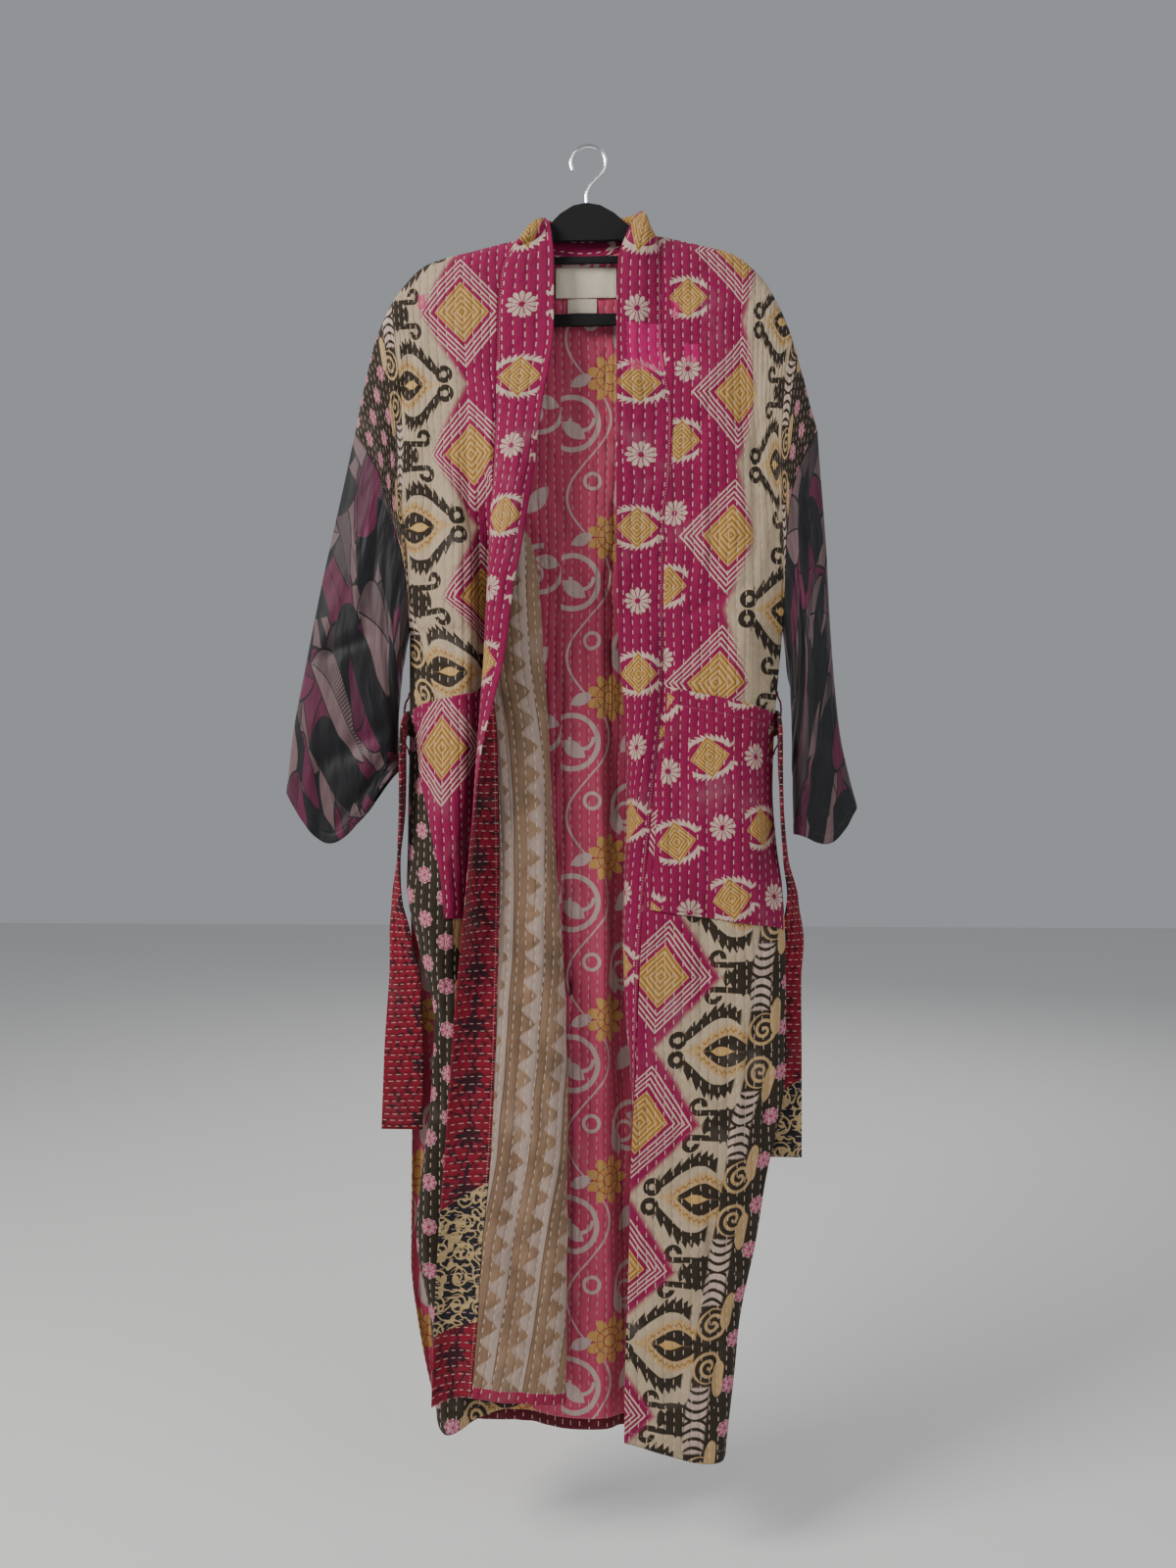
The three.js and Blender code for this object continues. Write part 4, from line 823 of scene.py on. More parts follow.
def vine_print(name):
    """The back's inside: rose pink with cream scrolls, leaves and curls, and yellow flowers."""
    dye = Dye(name, 0.9)
    uneven = dye.ramp(0.3, 0.8, dye.speckle(120, 2.0)) * 0.5
    colour = dye.over((0.56, 0.075, 0.145), uneven, (0.42, 0.04, 0.095))
    x, column = repeated(dye.u - 28, 118), (dye.u - 28) / 118 + 0.5
    y = repeated(dye.v - 262 + column.floor() * 93, 186)
    cream = (0.55, 0.4, 0.37)
    stem = abs(x + 6 - (y * (PRINT_TURN / 186)).sin() * 26 + 20) - 1.4
    inner = ring(dye, x + 46, y - 52, 31, 2.9)
    hook = ring(dye, x + 34, y - 46, 14, 2.1) * (y > 46)
    second = ring(dye, x - 34, y + 58, 27, 2.8) * (1 - (x > 38) * (y < -60))
    curl = ring(dye, x - 24, y + 52, 11, 2).most(ring(dye, x + 22, y + 66, 9, 1.9))
    colour = dye.over(colour, dye.inside(stem).most(inner).most(hook).most(second).most(curl), cream)
    for across, down, turn, long, wide in (
        (-44, 60, 35, 17, 9), (30, 48, -50, 20, 10), (12, -42, 70, 17, 8), (42, -66, 20, 16, 8),
        (-34, 2, -25, 15, 7),
    ):
        lx, ly = dye.turned(x - across, y - down, turn)
        leaf = dye.ramp(0.06, -0.06, (lx / long) * (lx / long) + abs(ly) / wide - 1)
        colour = dye.over(colour, leaf, cream)
    yellow = (0.58, 0.32, 0.1)
    turn, far = dye.angle(x, y), (x * x + y * y).root()
    petals = abs((turn * 4.5).cos())
    colour = dye.over(colour, dye.ramp(0.7, -0.5, far - 17 - 11 * petals), yellow)
    lines = dye.ramp(0.2, 0.1, petals) * dye.ramp(6, 8, far) * dye.ramp(24, 22, far)
    lines = lines.most(ring(dye, x, y, 7.5, 0.6)).most(ring(dye, x, y, 15.5, 0.45))
    colour = dye.over(colour, lines * dye.ramp(29, 27, far), (0.36, 0.05, 0.06))
    colour = dye.worn(dye.over(colour, turned_hem(dye, 0.5), (0.1, 0.006, 0.014)), 0.2)
    return dye.finish(dye.topstitch(dye.stitches(colour, dye.u + 3, dye.v)))


def arrow_print(name):
    """The left front's inside: tan columns of pointed leaves on silver grey, between narrow stripes."""
    dye = Dye(name, 0.8)
    tan, silver = (0.27, 0.165, 0.1), (0.35, 0.245, 0.19)
    x = dye.u * -1 - 97 + (dye.speckle(120, 1.0) - 0.5) * 5
    colour = dye.over(tan, dye.ramp(0.3, 0.7, dye.speckle(50, 2.0)) * 0.5, (0.14, 0.08, 0.045))
    column = repeated(x, 36) + 18
    y = dye.zigzag(dye.v + dye.chance(nearest(x, 36)) * 30, 15.5)
    leaf = column - 13 - y * 0.85 - dye.ramp(4, 12, y) * 4
    colour = dye.over(colour, dye.ramp(-0.6, 0.6, leaf), silver)
    weave = dye.zigzag((dye.u + dye.v) * 0.9, 0.5)
    hatch = dye.ramp(-0.6, 0.6, column - 17 - y * 0.85) * dye.ramp(0.2, 0.4, weave) * 0.6
    colour = dye.over(colour, hatch, (0.46, 0.38, 0.35))
    colour = dye.over(colour, dye.ramp(1.3, 0.5, abs(column - 35)), (0.15, 0.085, 0.045))
    colour = dye.over(colour, dye.ramp(10.5, 9.5, abs(x + 4)) * 0.9, (0.25, 0.18, 0.145))
    colour = dye.worn(dye.over(colour, turned_hem(dye), (0.27, 0.01, 0.05)), 0.25)
    return dye.finish(dye.topstitch(dye.stitches(colour, dye.u + 2, dye.v, (0.6, 0.5, 0.4), shown=0.8)))


def branch_print(name, scroll_from, scroll_to, row=8.6):
    """Crimson with dark plum branches and small flowers, and a black and gold scroll patch."""
    dye = Dye(name, 0.88)
    x, y = dye.u, dye.v
    uneven = dye.ramp(0.35, 0.7, dye.speckle(60, 2.0)) * 0.6
    colour = dye.over((0.22, 0.006, 0.022), uneven, (0.16, 0.006, 0.02))
    sway = (dye.speckle(26, 2.0) - 0.5) * 18
    cy = repeated(y, 62)
    cx = x - 26
    dark = (0.035, 0.006, 0.012)
    branches = dye.ramp(1.5, 0.7, abs(abs(cx) - abs(cy + 6) * 0.6 + sway * 0.6))
    branches = branches.most(dye.ramp(1.6, 0.8, abs(cx + sway)))
    turn, far = dye.angle(cx, cy - 12), (cx * cx + (cy - 12) * (cy - 12)).root()
    flower = dye.ramp(0.7, -0.5, far - 6 - 10 * abs((turn * 3.5).cos())) * (cy > 6).most(far < 9)
    leaves = dye.ramp(0.6, 0.66, dye.speckle(13, 1.0, (1, 1.7)))
    colour = dye.over(colour, branches.most(flower).most(leaves * 0.85), dark)
    below = dye.ramp(scroll_from, scroll_from + 1, y - cx * 0.6)
    above = dye.ramp(scroll_to + 1, scroll_to, y - cx * 0.3)
    gold = dye.ramp(0.03, 0.0, abs(dye.speckle(15, 1.0) - 0.5) - 0.035)
    gold = gold.most(spiral(dye, repeated(x, 26), repeated(y, 30), 12, 1.8, 0.22))
    patch = dye.over((0.012, 0.012, 0.016), gold, (0.42, 0.3, 0.14))
    colour = dye.over(colour, below * above, patch)
    colour = dye.stitches(dye.worn(colour, 0.06), dye.v, dye.u, (0.56, 0.36, 0.3), row, 9.5, 5.0, 0.8)
    return dye.finish(dye.topstitch(colour, (0.6, 0.5, 0.4)))


def pocket_print(name, big):
    """Pockets: the field of eyes and daisies, or one large diamond where big is true."""
    dye = Dye(name)
    colour = faded(dye, (0.2, 0.006, 0.035))
    if big:
        colour = diamond(dye, colour, dye.u + 164, dye.v - 694, 56, 68)
    else:
        x, y = dye.turned(dye.u - 141, dye.v - 704, -9)
        column = nearest(x, 52)
        cy = y - dye.zigzag(column, 1) * 88
        cx = x - column * 52
        colour = eye(dye, colour, cx, repeated(cy, 160))
        colour = daisy(dye, colour, cx + 2, repeated(cy - 80, 160), 15, 12)
    colour = dye.worn(colour)
    return dye.finish(dye.topstitch(dye.stitches(colour, dye.u + 4, dye.v), (0.6, 0.3, 0.35)))


def leaf_print(name, seed):
    """The sleeves: large overlapping leaves in mauve, plum and black, some hatched along one half."""
    dye = Dye(name, 0.6)
    black = (0.007, 0.007, 0.009)
    colour = dye.over(black, dye.ramp(0.3, 0.8, dye.speckle(40, 1.0)) * 0.4, (0.02, 0.016, 0.018))
    for layer, (wide, high, long, half, tint, hatched) in enumerate([
        (92, 74, 60, 33, (0.12, 0.07, 0.074), False), (128, 92, 60, 36, (0.085, 0.009, 0.034), False),
        (112, 108, 52, 29, (0.06, 0.036, 0.04), True), (118, 92, 60, 32, black, False),
        (150, 120, 50, 27, (0.14, 0.085, 0.09), True), (164, 130, 48, 26, (0.1, 0.01, 0.04), True),
        (140, 112, 52, 24, black, False),
    ]):
        x, y = dye.turned(dye.u + seed + layer * 37, dye.v + layer * 53, 20 + layer * 23)
        row = nearest(y, high)
        x = x + row * wide * 0.41
        column = nearest(x, wide)
        luck = dye.chance(row * 17 + column * 5 + layer + seed)
        x, y = x - column * wide, y - row * high + (luck - 0.5) * 20
        turn = (luck - 0.4) * 2.6
        lx, ly = x * turn.cos() + y * turn.sin(), y * turn.cos() - x * turn.sin()
        ly = ly + lx * lx * (luck - 0.5) * 0.012
        shape = (lx / long) * (lx / long) + abs(ly) / half
        colour = dye.over(colour, dye.ramp(1.09, 1.06, shape), black)
        colour = dye.over(colour, dye.ramp(1.0, 0.97, shape), tint)
        if hatched:
            lines = dye.ramp(0.2, 0.3, dye.zigzag(lx * 0.42 + ly * 0.3, 0.5))
            colour = dye.over(colour, dye.ramp(1.0, 0.97, shape) * lines * (ly > 1) * 0.75, black)
        colour = dye.over(colour, dye.ramp(0.9, 0.86, shape) * dye.ramp(0.9, 0.5, abs(ly)), black)
    dye.height = dye.height + (dye.speckle(30, 2.0, (1, 0.5)) - 0.5) * 4
    return dye.finish(dye.topstitch(colour, (0.05, 0.03, 0.035)), 0.15, 0.03)


def plain(name, colour, rough=0.9, sheen=0.0, metal=0.0, weave=0.0):
    dye = Dye(name, rough)
    dye.shader.inputs["Metallic"].default_value = metal
    if not weave:
        dye.shader.inputs["Base Color"].default_value = (*colour, 1)
        dye.shader.inputs["Sheen Weight"].default_value = sheen
        return dye.material
    darker = tuple(part * 0.7 for part in colour)
    uneven = dye.over(colour, dye.speckle(1.5, 1.0) * 0.3, darker)
    return dye.finish(dye.topstitch(uneven), sheen, weave)


# ---------------------------------------------------------------- the robe's cloth
def rounded(rim, least, over):
    """The share of its thickness that cloth has near its rim, from the least one at the rim itself."""
    return np.sqrt(np.clip(least + rim / over, least, 1))


def hem_wall(grid):
    """The cloth's thickness with its hem turned up, thicker there and rounded at the edge, and how far
    each point is from the hem's stitched line."""
    end = grid[-1, :, 2]
    height = grid[..., 2] - end
    turned = 1.1 * smooth(HEM_DEPTH + 0.8, HEM_DEPTH - 0.8, height)
    wall = QUILT_WALL + turned
    return wall * rounded(height, 0.25, 1.6), height - HEM_DEPTH + 1.5


def seam_ditch(wall, grid, at_first=True, at_last=True):
    """Cloth thins into the stitching where two pieces are sewn together."""
    run = run_across(grid, 0)
    if at_first:
        wall = wall * (0.55 + 0.45 * smooth(0, 3.2, run))
    if at_last:
        wall = wall * (0.55 + 0.45 * smooth(0, 3.2, run[:, -1:] - run))
    return wall


def panel_normals(grid, outward_first, outward_last=None):
    normal = facing(grid)
    top = seam_facing(grid[0], (0, 0, 1))
    on_ridge = (np.abs(grid[0, :, 1]) < 0.5)[:, None]
    normal[0] = np.where(on_ridge, top, normal[0])
    closed = ((grid[:, 0, 2] < UNDERARM_Z) & (grid[:, 0, 2] > SLIT_TOP_Z - 30))[:, None]
    normal[:, 0] = np.where(closed, seam_facing(grid[:, 0], outward_first), normal[:, 0])
    if outward_last:
        normal[:, -1] = np.where(closed, seam_facing(grid[:, -1], outward_last), normal[:, -1])
    return normal


def flat_map(grid, start, way=1):
    """Flat cloth coordinates: across from one column, and down by height."""
    return points(grid[:, start, 0][:, None] + way * run_across(grid, start), -grid[..., 2])


LEFT_SHARES = even_shares(left_front_section, 118)
RIGHT_SHARES = even_shares(right_front_section, 70)
NECK_AT = finer([0.3647, 0.375, 0.4, 0.45, 0.5, 0.545, 0.59, 0.632, 0.6429], 4)
BACK_SHARES = np.unique(np.round(even_shares(back_section, 110, NECK_AT), 6))
BACK_SHARES = BACK_SHARES[np.append(True, np.diff(BACK_SHARES) > 4e-4)]

left_grid = panel_grid(
    LEFT_SHARES,
    lambda share, drop: front_yoke(
        share, drop, LEFT_ARMHOLE, LEFT_SEAM, LEFT_RIDGE, left_front_section, 0.3, 0.85
    ),
    left_front_section, LEFT_HEM, "left_front", 3,
)
right_grid = panel_grid(
    RIGHT_SHARES,
    lambda share, drop: front_yoke(
        share, drop, RIGHT_ARMHOLE, RIGHT_SEAM, RIGHT_RIDGE, right_front_section, 0.3, 0.9
    ),
    right_front_section, RIGHT_HEM, "right_front", 8,
)
back_grid = panel_grid(BACK_SHARES, back_yoke, back_section, BACK_HEM, "back", 5)


def front_panel(name, grid, outward, outer, inner, outer_first, start):
    way = -1 if outer_first else 1
    wall, line = hem_wall(grid)
    wall = seam_ditch(wall, grid, at_first=False)
    outer_map = flat_map(grid, start, way)
    inner_map = flat_map(grid, grid.shape[1] - 1, way)
    if outer_first:
        finishes, maps = (outer, inner), (outer_map, inner_map)
    else:
        finishes, maps = (inner, outer), (inner_map, outer_map)
    normals = panel_normals(grid, outward)
    cloth(name, grid, wall, finishes, maps, line, normals=normals, lengths=True)


# Front bands: where the free edge lies, and how far the band laps where it folds back over the panel
LEFT_BAND = Table("z x y freeZ lap", [
    (-105, -49, -1, -82, 0), (-118, -43, -11, -94, 0), (-149, -38, -18, -140, 0),
    (-215, -38, -22, -214, 0), (-300, -50, -29, -300, -0.2), (-345, -56, -33, -345, -0.9),
    (-380, -59, -38, -380, -1.9), (-410, -63, -45, -410, -2.4), (-477, -72, -62, -477, -2.2),
    (-511, -78, -70, -511, -2.3), (-593, -88, -77, -593, -2.3), (-650, -101, -81, -650, -2),
    (-696, -112, -82, -696, -1.7), (-792, -124, -79, -792, -1.5), (-859, -131, -74, -859, -1.2),
    (-992, -145, -64, -992, -0.7), (-1151, -158, -52, -1151, -0.2), (-1268, -167, -48, -1268, 0),
    (-1351, -171, -47, -1351, 0), (-1430, -174, -46, -1440, 0),
])
RIGHT_BAND = Table("z x y freeZ lap", [
    (-103, 60, -1, -76, 0), (-116, 51, -11, -92, 0), (-149, 35, -18, -140, 0),
    (-230, 33, -26, -228, 0), (-469, 33, -35, -469, 0), (-558, 35, -33, -558, 0),
    (-668, 43, -20, -668, 0.3), (-760, 46, -6, -760, 0.7), (-887, 50, 6, -887, 1.2),
    (-960, 58, 5, -960, 1.7), (-1060, 74, -5, -1060, 2.2), (-1154, 86, -11, -1154, 2.4),
    (-1278, 90, -12, -1278, 2.4), (-1477, 88, -12, -1474, 2.4),
])


def band(name, panel, table, outer_way, outer, inner, seed):
    """A band between the panel's edge and its own free edge, of its true width all the way down."""
    seam = panel[:, -1].copy()
    z = seam[:, 2].copy()
    free = points(table.x(z), table.y(z), table.freeZ(z))
    seam[:, 1] += table.lap(z)
    seam[:, 2] += 0.7 * smooth(-140, -122, z)
    chord = free - seam
    reach = np.linalg.norm(chord, axis=1)
    rise = np.sqrt(np.maximum(3 * reach * (BAND_WIDTH - reach), 0) / 8)
    bow = unit(np.cross(chord, (0, 0, 1))) * (outer_way * rise)[:, None]
    share = np.concatenate([[0.012, 0.03], np.linspace(0.06, 0.94, 15), [0.97, 0.985, 0.995, 1]])
    bowed = bow[:, None] * (4 * share * (1 - share))[None, :, None]
    grid = seam[:, None] + chord[:, None] * share[None, :, None] + bowed
    calm = np.sin(math.pi * share) * smooth(0, 30, np.arange(len(grid)))[:, None]
    rise = 0.7 * wander(share * BAND_WIDTH, grid[..., 2], seed) * calm
    grid = grid + facing(grid) * rise[..., None]
    edge = BAND_WIDTH * (1 - share)
    wall = (QUILT_WALL + 0.5) * rounded(edge, 0.16, 1.3) * np.ones((len(grid), 1))
    wall = seam_ditch(wall, grid, at_last=False)
    end_height = np.abs(z - z[-1])[:, None]
    wall = wall * rounded(end_height, 0.3, 1.5)
    flat = points(share * BAND_WIDTH, -z[:, None])
    finishes = (outer, inner) if outer_way < 0 else (inner, outer)
    line = np.minimum(np.abs(share * BAND_WIDTH - 3), np.abs(edge - 4)) * np.ones((len(grid), 1))
    slot = "outer_cloth" if outer_way < 0 else "crimson_cloth"
    cloth(name, grid, wall, finishes, flat, line, lengths=True)


NECK_BAND = Table("across x y z", [
    (0, -49, -1, -82), (0.14, -50, 11, -78), (0.32, -30, 17, -77), (0.5, 2, 19, -77),
    (0.7, 36, 17, -75), (0.87, 58, 11, -72), (1, 60, -1, -76),
])


def neck_band(outer, inner):
    across = np.linspace(0, 1, 90)
    low = back_top(mix(NECK_LEFT, NECK_RIGHT, across))
    high = points(NECK_BAND.x(across), NECK_BAND.y(across), NECK_BAND.z(across))
    share = np.concatenate([[0.02, 0.06], np.linspace(0.12, 0.9, 9), [0.95, 0.98, 1]])
    grid = mix(low[:, None], high[:, None], share[None, :, None])
    wall = (QUILT_WALL + 0.3) * rounded((1 - share) * NECK_BAND_WIDTH, 0.16, 1.3)
    run = run_across(np.swapaxes(grid, 0, 1), 0).T
    along = share * NECK_BAND_WIDTH
    cloth("band_neck", grid, wall, (inner, outer), points(along, run), np.abs(along - 3))


# Sleeves: rings from the armhole to the cuff, each between its outer and its inner fold
LEFT_SLEEVE = Table("down outX outZ inX inZ front back hang", [
    (0, -270, -328, -207, -560, 16, 14, 0), (0.15, -284, -391, -214, -596, 19, 16, 0),
    (0.38, -309, -506, -219, -640, 21, 18, 2), (0.58, -325, -586, -220, -668, 22, 18, 8),
    (0.8, -341, -669, -220, -694, 21, 18, 30), (1, -350, -745, -216, -716, 19, 16, 70),
])
RIGHT_SLEEVE = Table("down outX outZ inX inZ front back hang", [
    (0, 262, -330, 223, -560, 16, 14, 0), (0.15, 265, -376, 230, -600, 18, 16, 0),
    (0.38, 272, -464, 233, -650, 19, 18, 2), (0.58, 277, -560, 234, -694, 19, 18, 6),
    (0.8, 287, -672, 235, -752, 18, 17, 14), (1, 307, -762, 236, -792, 16, 15, 26),
])


def sleeve(name, creases, table, armhole, sign, finish, seed):
    ring = np.linspace(0, 1, 61)
    ring = 0.5 - 0.5 * np.cos(math.pi * ring)
    t = np.concatenate([ring[:-1], ring[:0:-1]])
    face = np.where(np.arange(len(t)) < 60, -1, 1)
    down = np.concatenate([np.linspace(0, 0.985, 105), [0.992, 0.997, 1]])
    t, d = np.meshgrid(t, down)
    out_x, out_z, in_x, in_z = table.outX(d), table.outZ(d), table.inX(d), table.inZ(d)
    arm_z = mix(table.outZ(0.0), table.inZ(0.0), t)
    bend = (armhole.x(arm_z) - mix(table.outX(0.0), table.inX(0.0), t)) * (1 - d) ** 2
    room = 1.4 * smooth(0.85, 1, t) * (1 - d) ** 2
    depth = np.where(face < 0, table.front(d), table.back(d))
    hang = table.hang(d) * np.sin(math.pi * t**0.85) ** 1.4 * np.where(face < 0, 1, 0.86)
    x = mix(out_x, in_x, t) + bend + sign * (0.35 + room)
    z = mix(out_z, in_z, t) - np.nan_to_num(hang) - 0.15
    fold = crease_depth(creases, x, z) * fullness(t) * smooth(0, 0.06, d)
    grid = points(x, face * depth * fullness(t) + np.where(face < 0, fold, -0.6 * fold), z)
    run = run_across(grid, 0)
    lift = wander(run, grid[..., 2], seed) * smooth(0, 0.12, d) * 0.9 * fullness(t)
    grid = grid + facing(grid, wrap=True) * lift[..., None]
    around = run_across(np.concatenate([grid, grid[:, :1]], 1), 0)
    length = np.cumsum(np.linalg.norm(np.diff(grid, axis=0, prepend=grid[:1]), axis=2), 0)
    left = length[-1:] - length
    wall = (SLEEVE_WALL + 0.7 * smooth(12.6, 11.4, left)) * rounded(left, 0.3, 1.2)
    flat = points(around, np.concatenate([length, length[:, :1]], 1))
    cloth(name, grid, wall, (finish, finish), flat, left - 11, wrap=True)


def on_panel(grid, normal, shares, share, z):
    """Points and facings of a panel at shares of its width and heights."""
    row_z = grid[:, grid.shape[1] // 2, 2]
    i = np.interp(-z, -row_z, np.arange(len(row_z)))
    j = np.interp(share, shares, np.arange(len(shares)))
    i0, j0 = np.minimum(i.astype(int), len(row_z) - 2), np.minimum(j.astype(int), len(shares) - 2)
    a, b = (i - i0)[..., None], (j - j0)[..., None]
    pick = lambda g: mix(mix(g[i0, j0], g[i0, j0 + 1], b), mix(g[i0 + 1, j0], g[i0 + 1, j0 + 1], b), a)
    return pick(grid), unit(pick(normal))


def pocket(name, panel, shares, outer_face, share_at, mouth, floor, finish, lining, start, seed):
    """A patch pocket laid on its panel, with a turned mouth and topstitched edges."""
    across = np.concatenate([[0, 0.004, 0.012], np.linspace(0.03, 0.97, 56), [0.988, 0.996, 1]])
    down = np.concatenate([[0, 0.003, 0.01], np.linspace(0.02, 0.98, 76), [0.99, 0.997, 1]])
    across, down = np.meshgrid(across, down)
    rising = np.minimum(across * (2 if name == "pocket_left" else 1), 1)
    z = mix(mix(mouth[0], mouth[1], rising), mix(floor[0], floor[1], across), down)
    share = share_at(across, z)
    at, normal = on_panel(panel, facing(panel), shares, share, z)
    normal = normal * outer_face
    wide = 0.5 * (np.linalg.norm(at[:, 0] - at[:, -1], axis=1).mean() + 180)
    edge = np.minimum(np.minimum(across, 1 - across) * POCKET_WIDE, (1 - down) * POCKET_LONG)
    gape = 1.5 * np.sin(math.pi * across) ** 2 * smooth(0.25, 0, down)
    belly = 0.8 * np.sin(math.pi * across) * np.sin(math.pi * down)
    lay = 2.2 + 0.4 * smooth(0, 8, edge) + belly + gape
    grid = at + normal * (lay + 0.35 * wander(across * wide, z, seed) * smooth(0, 10, edge))[..., None]
    turned = 0.7 * smooth(21, 19, down * POCKET_LONG)
    rim = np.minimum(edge, down * POCKET_LONG)
    wall = (1.6 + turned) * rounded(rim, 0.2, 1.4)
    line = np.minimum(np.abs(edge - 3), np.abs(down * POCKET_LONG - 18))
    run = run_across(grid, start)
    origin = grid[:, start : start + 1, 0]
    flat = points(origin - outer_face * run, -z)
    finishes = (finish, lining) if outer_face > 0 else (lining, finish)
    cloth(name, grid, wall, finishes, flat, line)


# The belt: a strip by its middle, the direction of its width and half its width
BELT = np.array([
    (-216, 0, -1135, 1, 0, 0, 24), (-214, 0, -1053, 1, 0, 0, 23),
    (-213, 1, -962, 0.99, -0.12, 0, 19), (-219, 1, -905, 0.92, -0.4, 0, 14),
    (-222, -1, -868, 0.6, -0.8, 0, 12), (-218, -8, -820, 0.25, -0.97, 0, 12),
    (-213, -15, -760, 0.05, -1, 0, 13), (-212, -17, -700, 0, -1, 0, 14),
    (-212, -15, -680, 0, -0.9, 0.44, 14), (-211, -8, -668, 0, -0.5, 0.87, 14),
    (-210.6, 3, -664, 0, 0, 1, 14), (-205, 16, -664, 0, 0, 1, 17), (-188, 26, -664, 0, 0, 1, 20),
    (-150, 31, -666, 0, 0, 1, 23), (-70, 32, -671, 0, 0, 1, 24), (10, 32, -673, 0, 0, 1, 24),
    (90, 32, -670, 0, 0, 1, 24), (158, 31, -666, 0, 0, 1, 22), (196, 26, -664, 0, 0, 1, 19),
    (213, 16, -664, 0, 0, 1, 17), (218.2, 3, -664, 0, 0, 1, 14),
    (218.6, -8, -668, 0, -0.5, 0.87, 14), (219, -15, -680, 0, -0.9, 0.44, 14),
    (219, -17, -700, 0, -1, 0, 14), (221, -15, -760, -0.1, -1, 0, 13),
    (226, -8, -820, -0.25, -0.97, 0, 12), (235, -1, -868, -0.6, -0.8, 0, 12),
    (235, 1, -905, -0.92, -0.4, 0, 14), (226, 1, -960, -0.99, -0.12, 0, 19),
    (222, 0, -1050, -1, 0, 0, 23), (221, 0, -1162, -1, 0, 0, 24),
])


def belt(finish):
    run = run_along(BELT[:, :3])
    at = finer(run, 14)
    x, y, z, wx, wy, wz, half = [curve(run, BELT[:, k])(at) for k in range(7)]
    middle, width = points(x, y, z), unit(points(wx, wy, wz))
    side = np.concatenate([[-1, -0.985, -0.95], np.linspace(-0.9, 0.9, 13), [0.95, 0.985, 1]])
    grid = middle[:, None] + width[:, None] * (half[:, None] * side)[..., None]
    gather = smooth(23, 14, half)[:, None]
    gathered = 0.9 * gather * np.cos(math.pi * 3 * side)
    rise = gathered + 0.25 * wander(side * HALF_BELT, at[:, None], 21)
    grid = grid + facing(grid) * rise[..., None]
    from_side = np.minimum(HALF_BELT * (1 - side), HALF_BELT * (1 + side))
    edge = np.minimum(from_side, np.minimum(at, at[-1] - at)[:, None])
    wall = 2.6 * rounded(edge, 0.16, 1.5)
    flat = points(side * HALF_BELT, at[:, None])
    cloth("belt", grid, wall, (finish, finish), flat, np.abs(edge - 3))


# The loops: how far out from the side seam at each height
LOOP = [
    (1.75, -628), (3, -634), (6.5, -640), (8, -648), (8.2, -664), (8, -681), (6.5, -689), (3, -695),
    (1.75, -701),
]


def belt_loop(name, side_x, outward, finish):
    out, z = [finer(column, 8) for column in zip(*LOOP)]
    y = np.array([1.5, 1.7, 2.2, 3.4, 4.6, 5.8, 7, 7.8, 8.3, 8.5])
    grid = points(side_x(z)[:, None] + outward * out[:, None], y, z[:, None])
    rim = np.minimum(y - 1.5, 8.5 - y)
    wall = 1.4 * rounded(rim, 0.2, 0.8)
    cloth(name, grid, wall, (finish, finish), points(y, -z[:, None]), np.abs(rim - 1.2))


def label(name, left, right, top, bottom, finish):
    """A blank woven label, a little curled, stitched inside the back of the neck."""
    x, z = np.meshgrid(np.linspace(left, right, 40), np.linspace(top, bottom, 24))
    heights = back_grid[:, len(BACK_SHARES) // 2, 2]
    row = back_grid[np.argmin(np.abs(heights - (top + bottom) / 2))]
    y = np.interp(x, row[:, 0], row[:, 1]) - 1.9
    rim = np.minimum(np.minimum(x - left, right - x), np.minimum(top - z, z - bottom))
    y = y - 0.25 * np.sin(x * 0.21 + z * 0.11) * smooth(0, 6, rim)
    line = np.abs(rim - 1.5)
    cloth(name, points(x, y, z), 0.7, (finish, finish), points(x, -z), line)


RIGHT_BORDER_EDGE = [
    (250, 330), (291, 326), (446, 312), (609, 297), (786, 262), (938, 233), (1061, 221),
    (1119, 207), (1167, 199), (1281, 181), (1340, 168), (1452, 155), (1500, 150),
]
LEFT_BORDER_EDGE = [
    (120, -282), (360, -274), (519, -262), (640, -215), (720, -175), (850, -158), (1450, -150),
]
RIGHT_PATCHES = [(109, 126, 236, 257), (94, 103, 187, 205)]
magenta = outer_print("right front print", RIGHT_BORDER_EDGE, 126, patches=RIGHT_PATCHES)
magenta_left = outer_print("left front print", LEFT_BORDER_EDGE, 30, (95, 78), [(-184, -173, 173, 190)])
band_left_print = band_print("left band print", 20, 272)
band_right_print = band_print("right band print", 26, 281, [(-6, 40, 214, 268)])
back_outer = outer_print("back outside print", [(100, -330), (1500, -230)], 90)
pink = vine_print("vine lining")
tan = arrow_print("tan lining")
crimson = branch_print("crimson branches", 1195, 1345)
belt_cloth = branch_print("belt cloth", 1385, 3000, 7.5)
pocket_left_print = pocket_print("left pocket print", True)
pocket_right_print = pocket_print("right pocket print", False)
mauve_left = leaf_print("left sleeve print", 0)
mauve_right = leaf_print("right sleeve print", 300)
cream = plain("label tape", (0.72, 0.64, 0.5), 0.8, 0.2, weave=0.1)
velvet = plain("velvet", (0.003, 0.003, 0.0035), 0.95, 0.03)
chrome = plain("hook wire", (0.75, 0.76, 0.78), 0.18, metal=1.0)

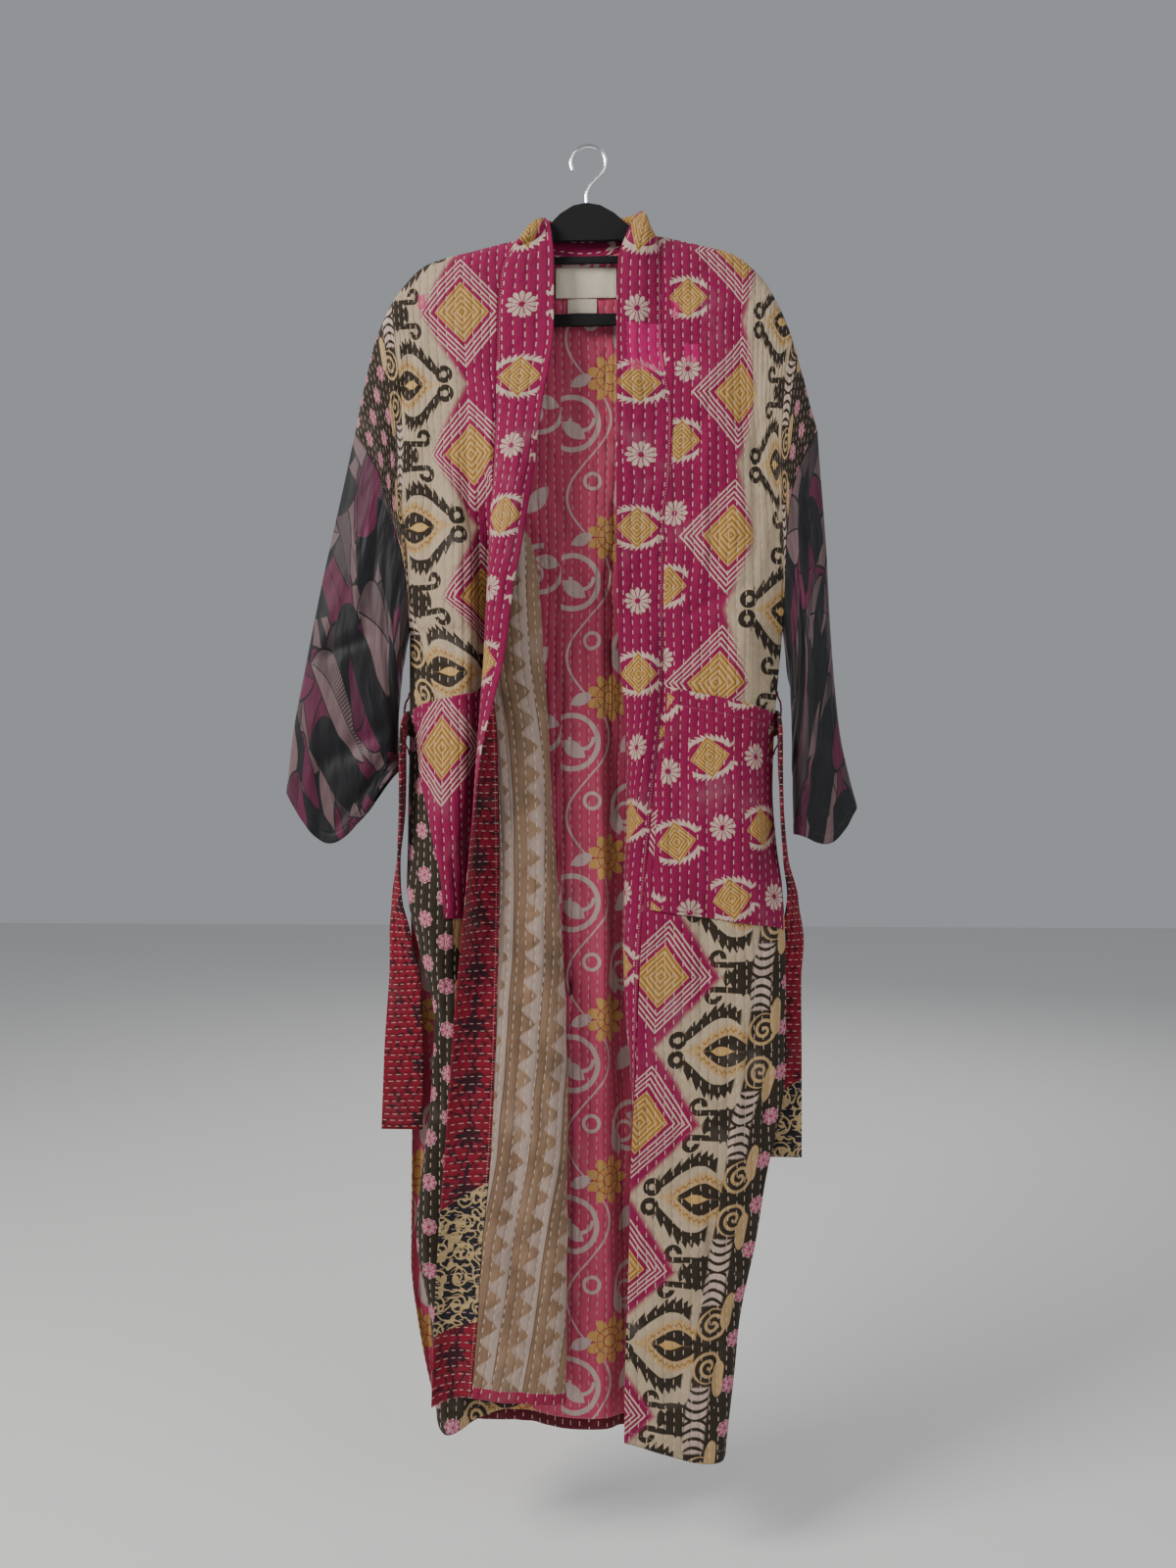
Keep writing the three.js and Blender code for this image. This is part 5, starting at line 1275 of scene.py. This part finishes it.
front_panel("front_left", left_grid, (-1, 0, 0), magenta_left, tan, False, 30)
front_panel("front_right", right_grid, (1, 0, 0), magenta, tan, True, 35)
wall, line = hem_wall(back_grid)
cloth(
    "back_panel", back_grid, seam_ditch(wall, back_grid), (back_outer, pink), flat_map(back_grid, 50),
    line, normals=panel_normals(back_grid, (-1, 0, 0), (1, 0, 0)), lengths=True,
)
band("band_left", left_grid, LEFT_BAND, 1, band_left_print, crimson, 31)
band("band_right", right_grid, RIGHT_BAND, -1, band_right_print, crimson, 32)
neck_band(band_right_print, back_outer)
sleeve("sleeve_left", "left_sleeve", LEFT_SLEEVE, LEFT_ARMHOLE, -1, mauve_left, 41)
sleeve("sleeve_right", "right_sleeve", RIGHT_SLEEVE, RIGHT_ARMHOLE, 1, mauve_right, 42)
# Where the left pocket's sides lie, as shares of its panel's width
POCKET_SIDES = Table("z outer inner", [
    (-640, 0.1, 0.58), (-682, 0.125, 0.58), (-719, 0.15, 0.58), (-778, 0.2, 0.57),
    (-840, 0.255, 0.56), (-890, 0.275, 0.55),
])
pocket(
    "pocket_left", left_grid, LEFT_SHARES, -1,
    lambda across, z: mix(POCKET_SIDES.outer(z), POCKET_SIDES.inner(z), across),
    (-648, -630), (-886, -886), pocket_left_print, tan, 20, 51,
)
pocket(
    "pocket_right", right_grid, RIGHT_SHARES, 1, lambda across, z: mix(0.14, 0.96, across),
    (-656, -625), (-900, -876), pocket_right_print, tan, 30, 52,
)
belt(belt_cloth)
belt_loop("belt_loop_left", LEFT_FRONT.side, -1, belt_cloth)
belt_loop("belt_loop_right", RIGHT_FRONT.side, 1, band_right_print)
label("neck_label", -38, 33, -136, -171, cream)
label("size_tag", -24, 10, -171.4, -188, cream)

for name, finish in (("hanger_body", velvet), ("hanger_hook", chrome)):
    cad_nodes[name].data.materials.clear()
    cad_nodes[name].data.materials.append(finish)

# What each cloth piece was cut to: width and length in metres, its flat area in square metres where
# it isn't a rectangle, and what it hangs from
CUTS = {
    "front_left": (0.27, 1.4, 0.31, ["hanger_body"]),
    "front_right": (0.2, 1.42, 0.21, ["hanger_body"]),
    "back_panel": (0.6, 1.42, 0.61, ["hanger_body"]),
    "band_left": (0.052, 1.38, None, ["front_left"]),
    "band_right": (0.052, 1.4, None, ["front_right"]),
    "band_neck": (0.049, 0.16, 0.006, ["back_panel"]),
    "sleeve_left": (0.51, 0.42, 0.095, ["front_left", "back_panel"]),
    "sleeve_right": (0.49, 0.38, 0.0586, ["front_right", "back_panel"]),
    "pocket_left": (0.165, 0.255, 0.033, ["front_left"]),
    "pocket_right": (0.16, 0.25, 0.037, ["front_right"]),
    "belt": (0.048, 1.45, None, ["belt_loop_left", "belt_loop_right", "back_panel"]),
    "neck_label": (0.071, 0.035, None, ["back_panel"]),
    "size_tag": (0.034, 0.017, None, ["neck_label"]),
}
for name, (width, length, area, rests_on) in CUTS.items():
    rests_on = [other if other == "hanger_body" else other + "_cloth" for other in rests_on]


# ---------------------------------------------------------------- the stage
def lit(name, place, size, power, toward, tint=(1, 1, 1)):
    light = bpy.data.lights.new(name, "AREA")
    light.shape, light.size, light.size_y = "RECTANGLE", *size
    light.energy, light.color = power, tint
    obj = bpy.data.objects.new(name, light)
    bpy.context.scene.collection.objects.link(obj)
    obj.location = place
    way = np.array(toward, float) - np.array(place, float)
    tilt = math.atan2(math.hypot(way[0], way[1]), -way[2])
    obj.rotation_euler = (tilt, 0, math.atan2(-way[0], way[1]))


def stage_plane(name, corners, finish):
    mesh = bpy.data.meshes.new(name)
    mesh.from_pydata(corners, [], [range(len(corners))])
    mesh.materials.append(finish)
    obj = bpy.data.objects.new(name, mesh)
    bpy.context.scene.collection.objects.link(obj)


pale = plain("pale wall", (0.78, 0.77, 0.75))
FLOOR_Z, FLOOR_REACH = -1.62, 6
FLOOR_CORNERS = [(-1, -1), (1, -1), (1, 1), (-1, 1)]
stage_plane("floor", [(x * FLOOR_REACH, y * FLOOR_REACH, FLOOR_Z) for x, y in FLOOR_CORNERS], pale)
lit("window light", (-1.75, -1.25, 0.7), (1, 1), 66, (0, 0, -0.75), (1, 0.98, 0.95))
lit("right fill", (1.6, -1.5, 0.1), (1.4, 2), 16, (0, 0, -0.8), (0.95, 0.97, 1))
lit("back fill", (0.6, 2.2, 0.9), (2, 2), 26, (0, 0, -0.8))
world = bpy.data.worlds.new("soft sky")
bpy.context.scene.world = world
world.use_nodes = True
world.node_tree.nodes["Background"].inputs["Color"].default_value = (0.9, 0.94, 1, 1)
world.node_tree.nodes["Background"].inputs["Strength"].default_value = 0.33

lens = bpy.data.cameras.new("camera")
lens.lens = 27.05
lens.sensor_width = 36
camera = bpy.data.objects.new("camera", lens)
camera.location = (0.0522, -1.358, -0.7345)
camera.rotation_euler = (math.radians(90), 0, math.radians(2.2))
bpy.context.scene.collection.objects.link(camera)
bpy.context.scene.camera = camera
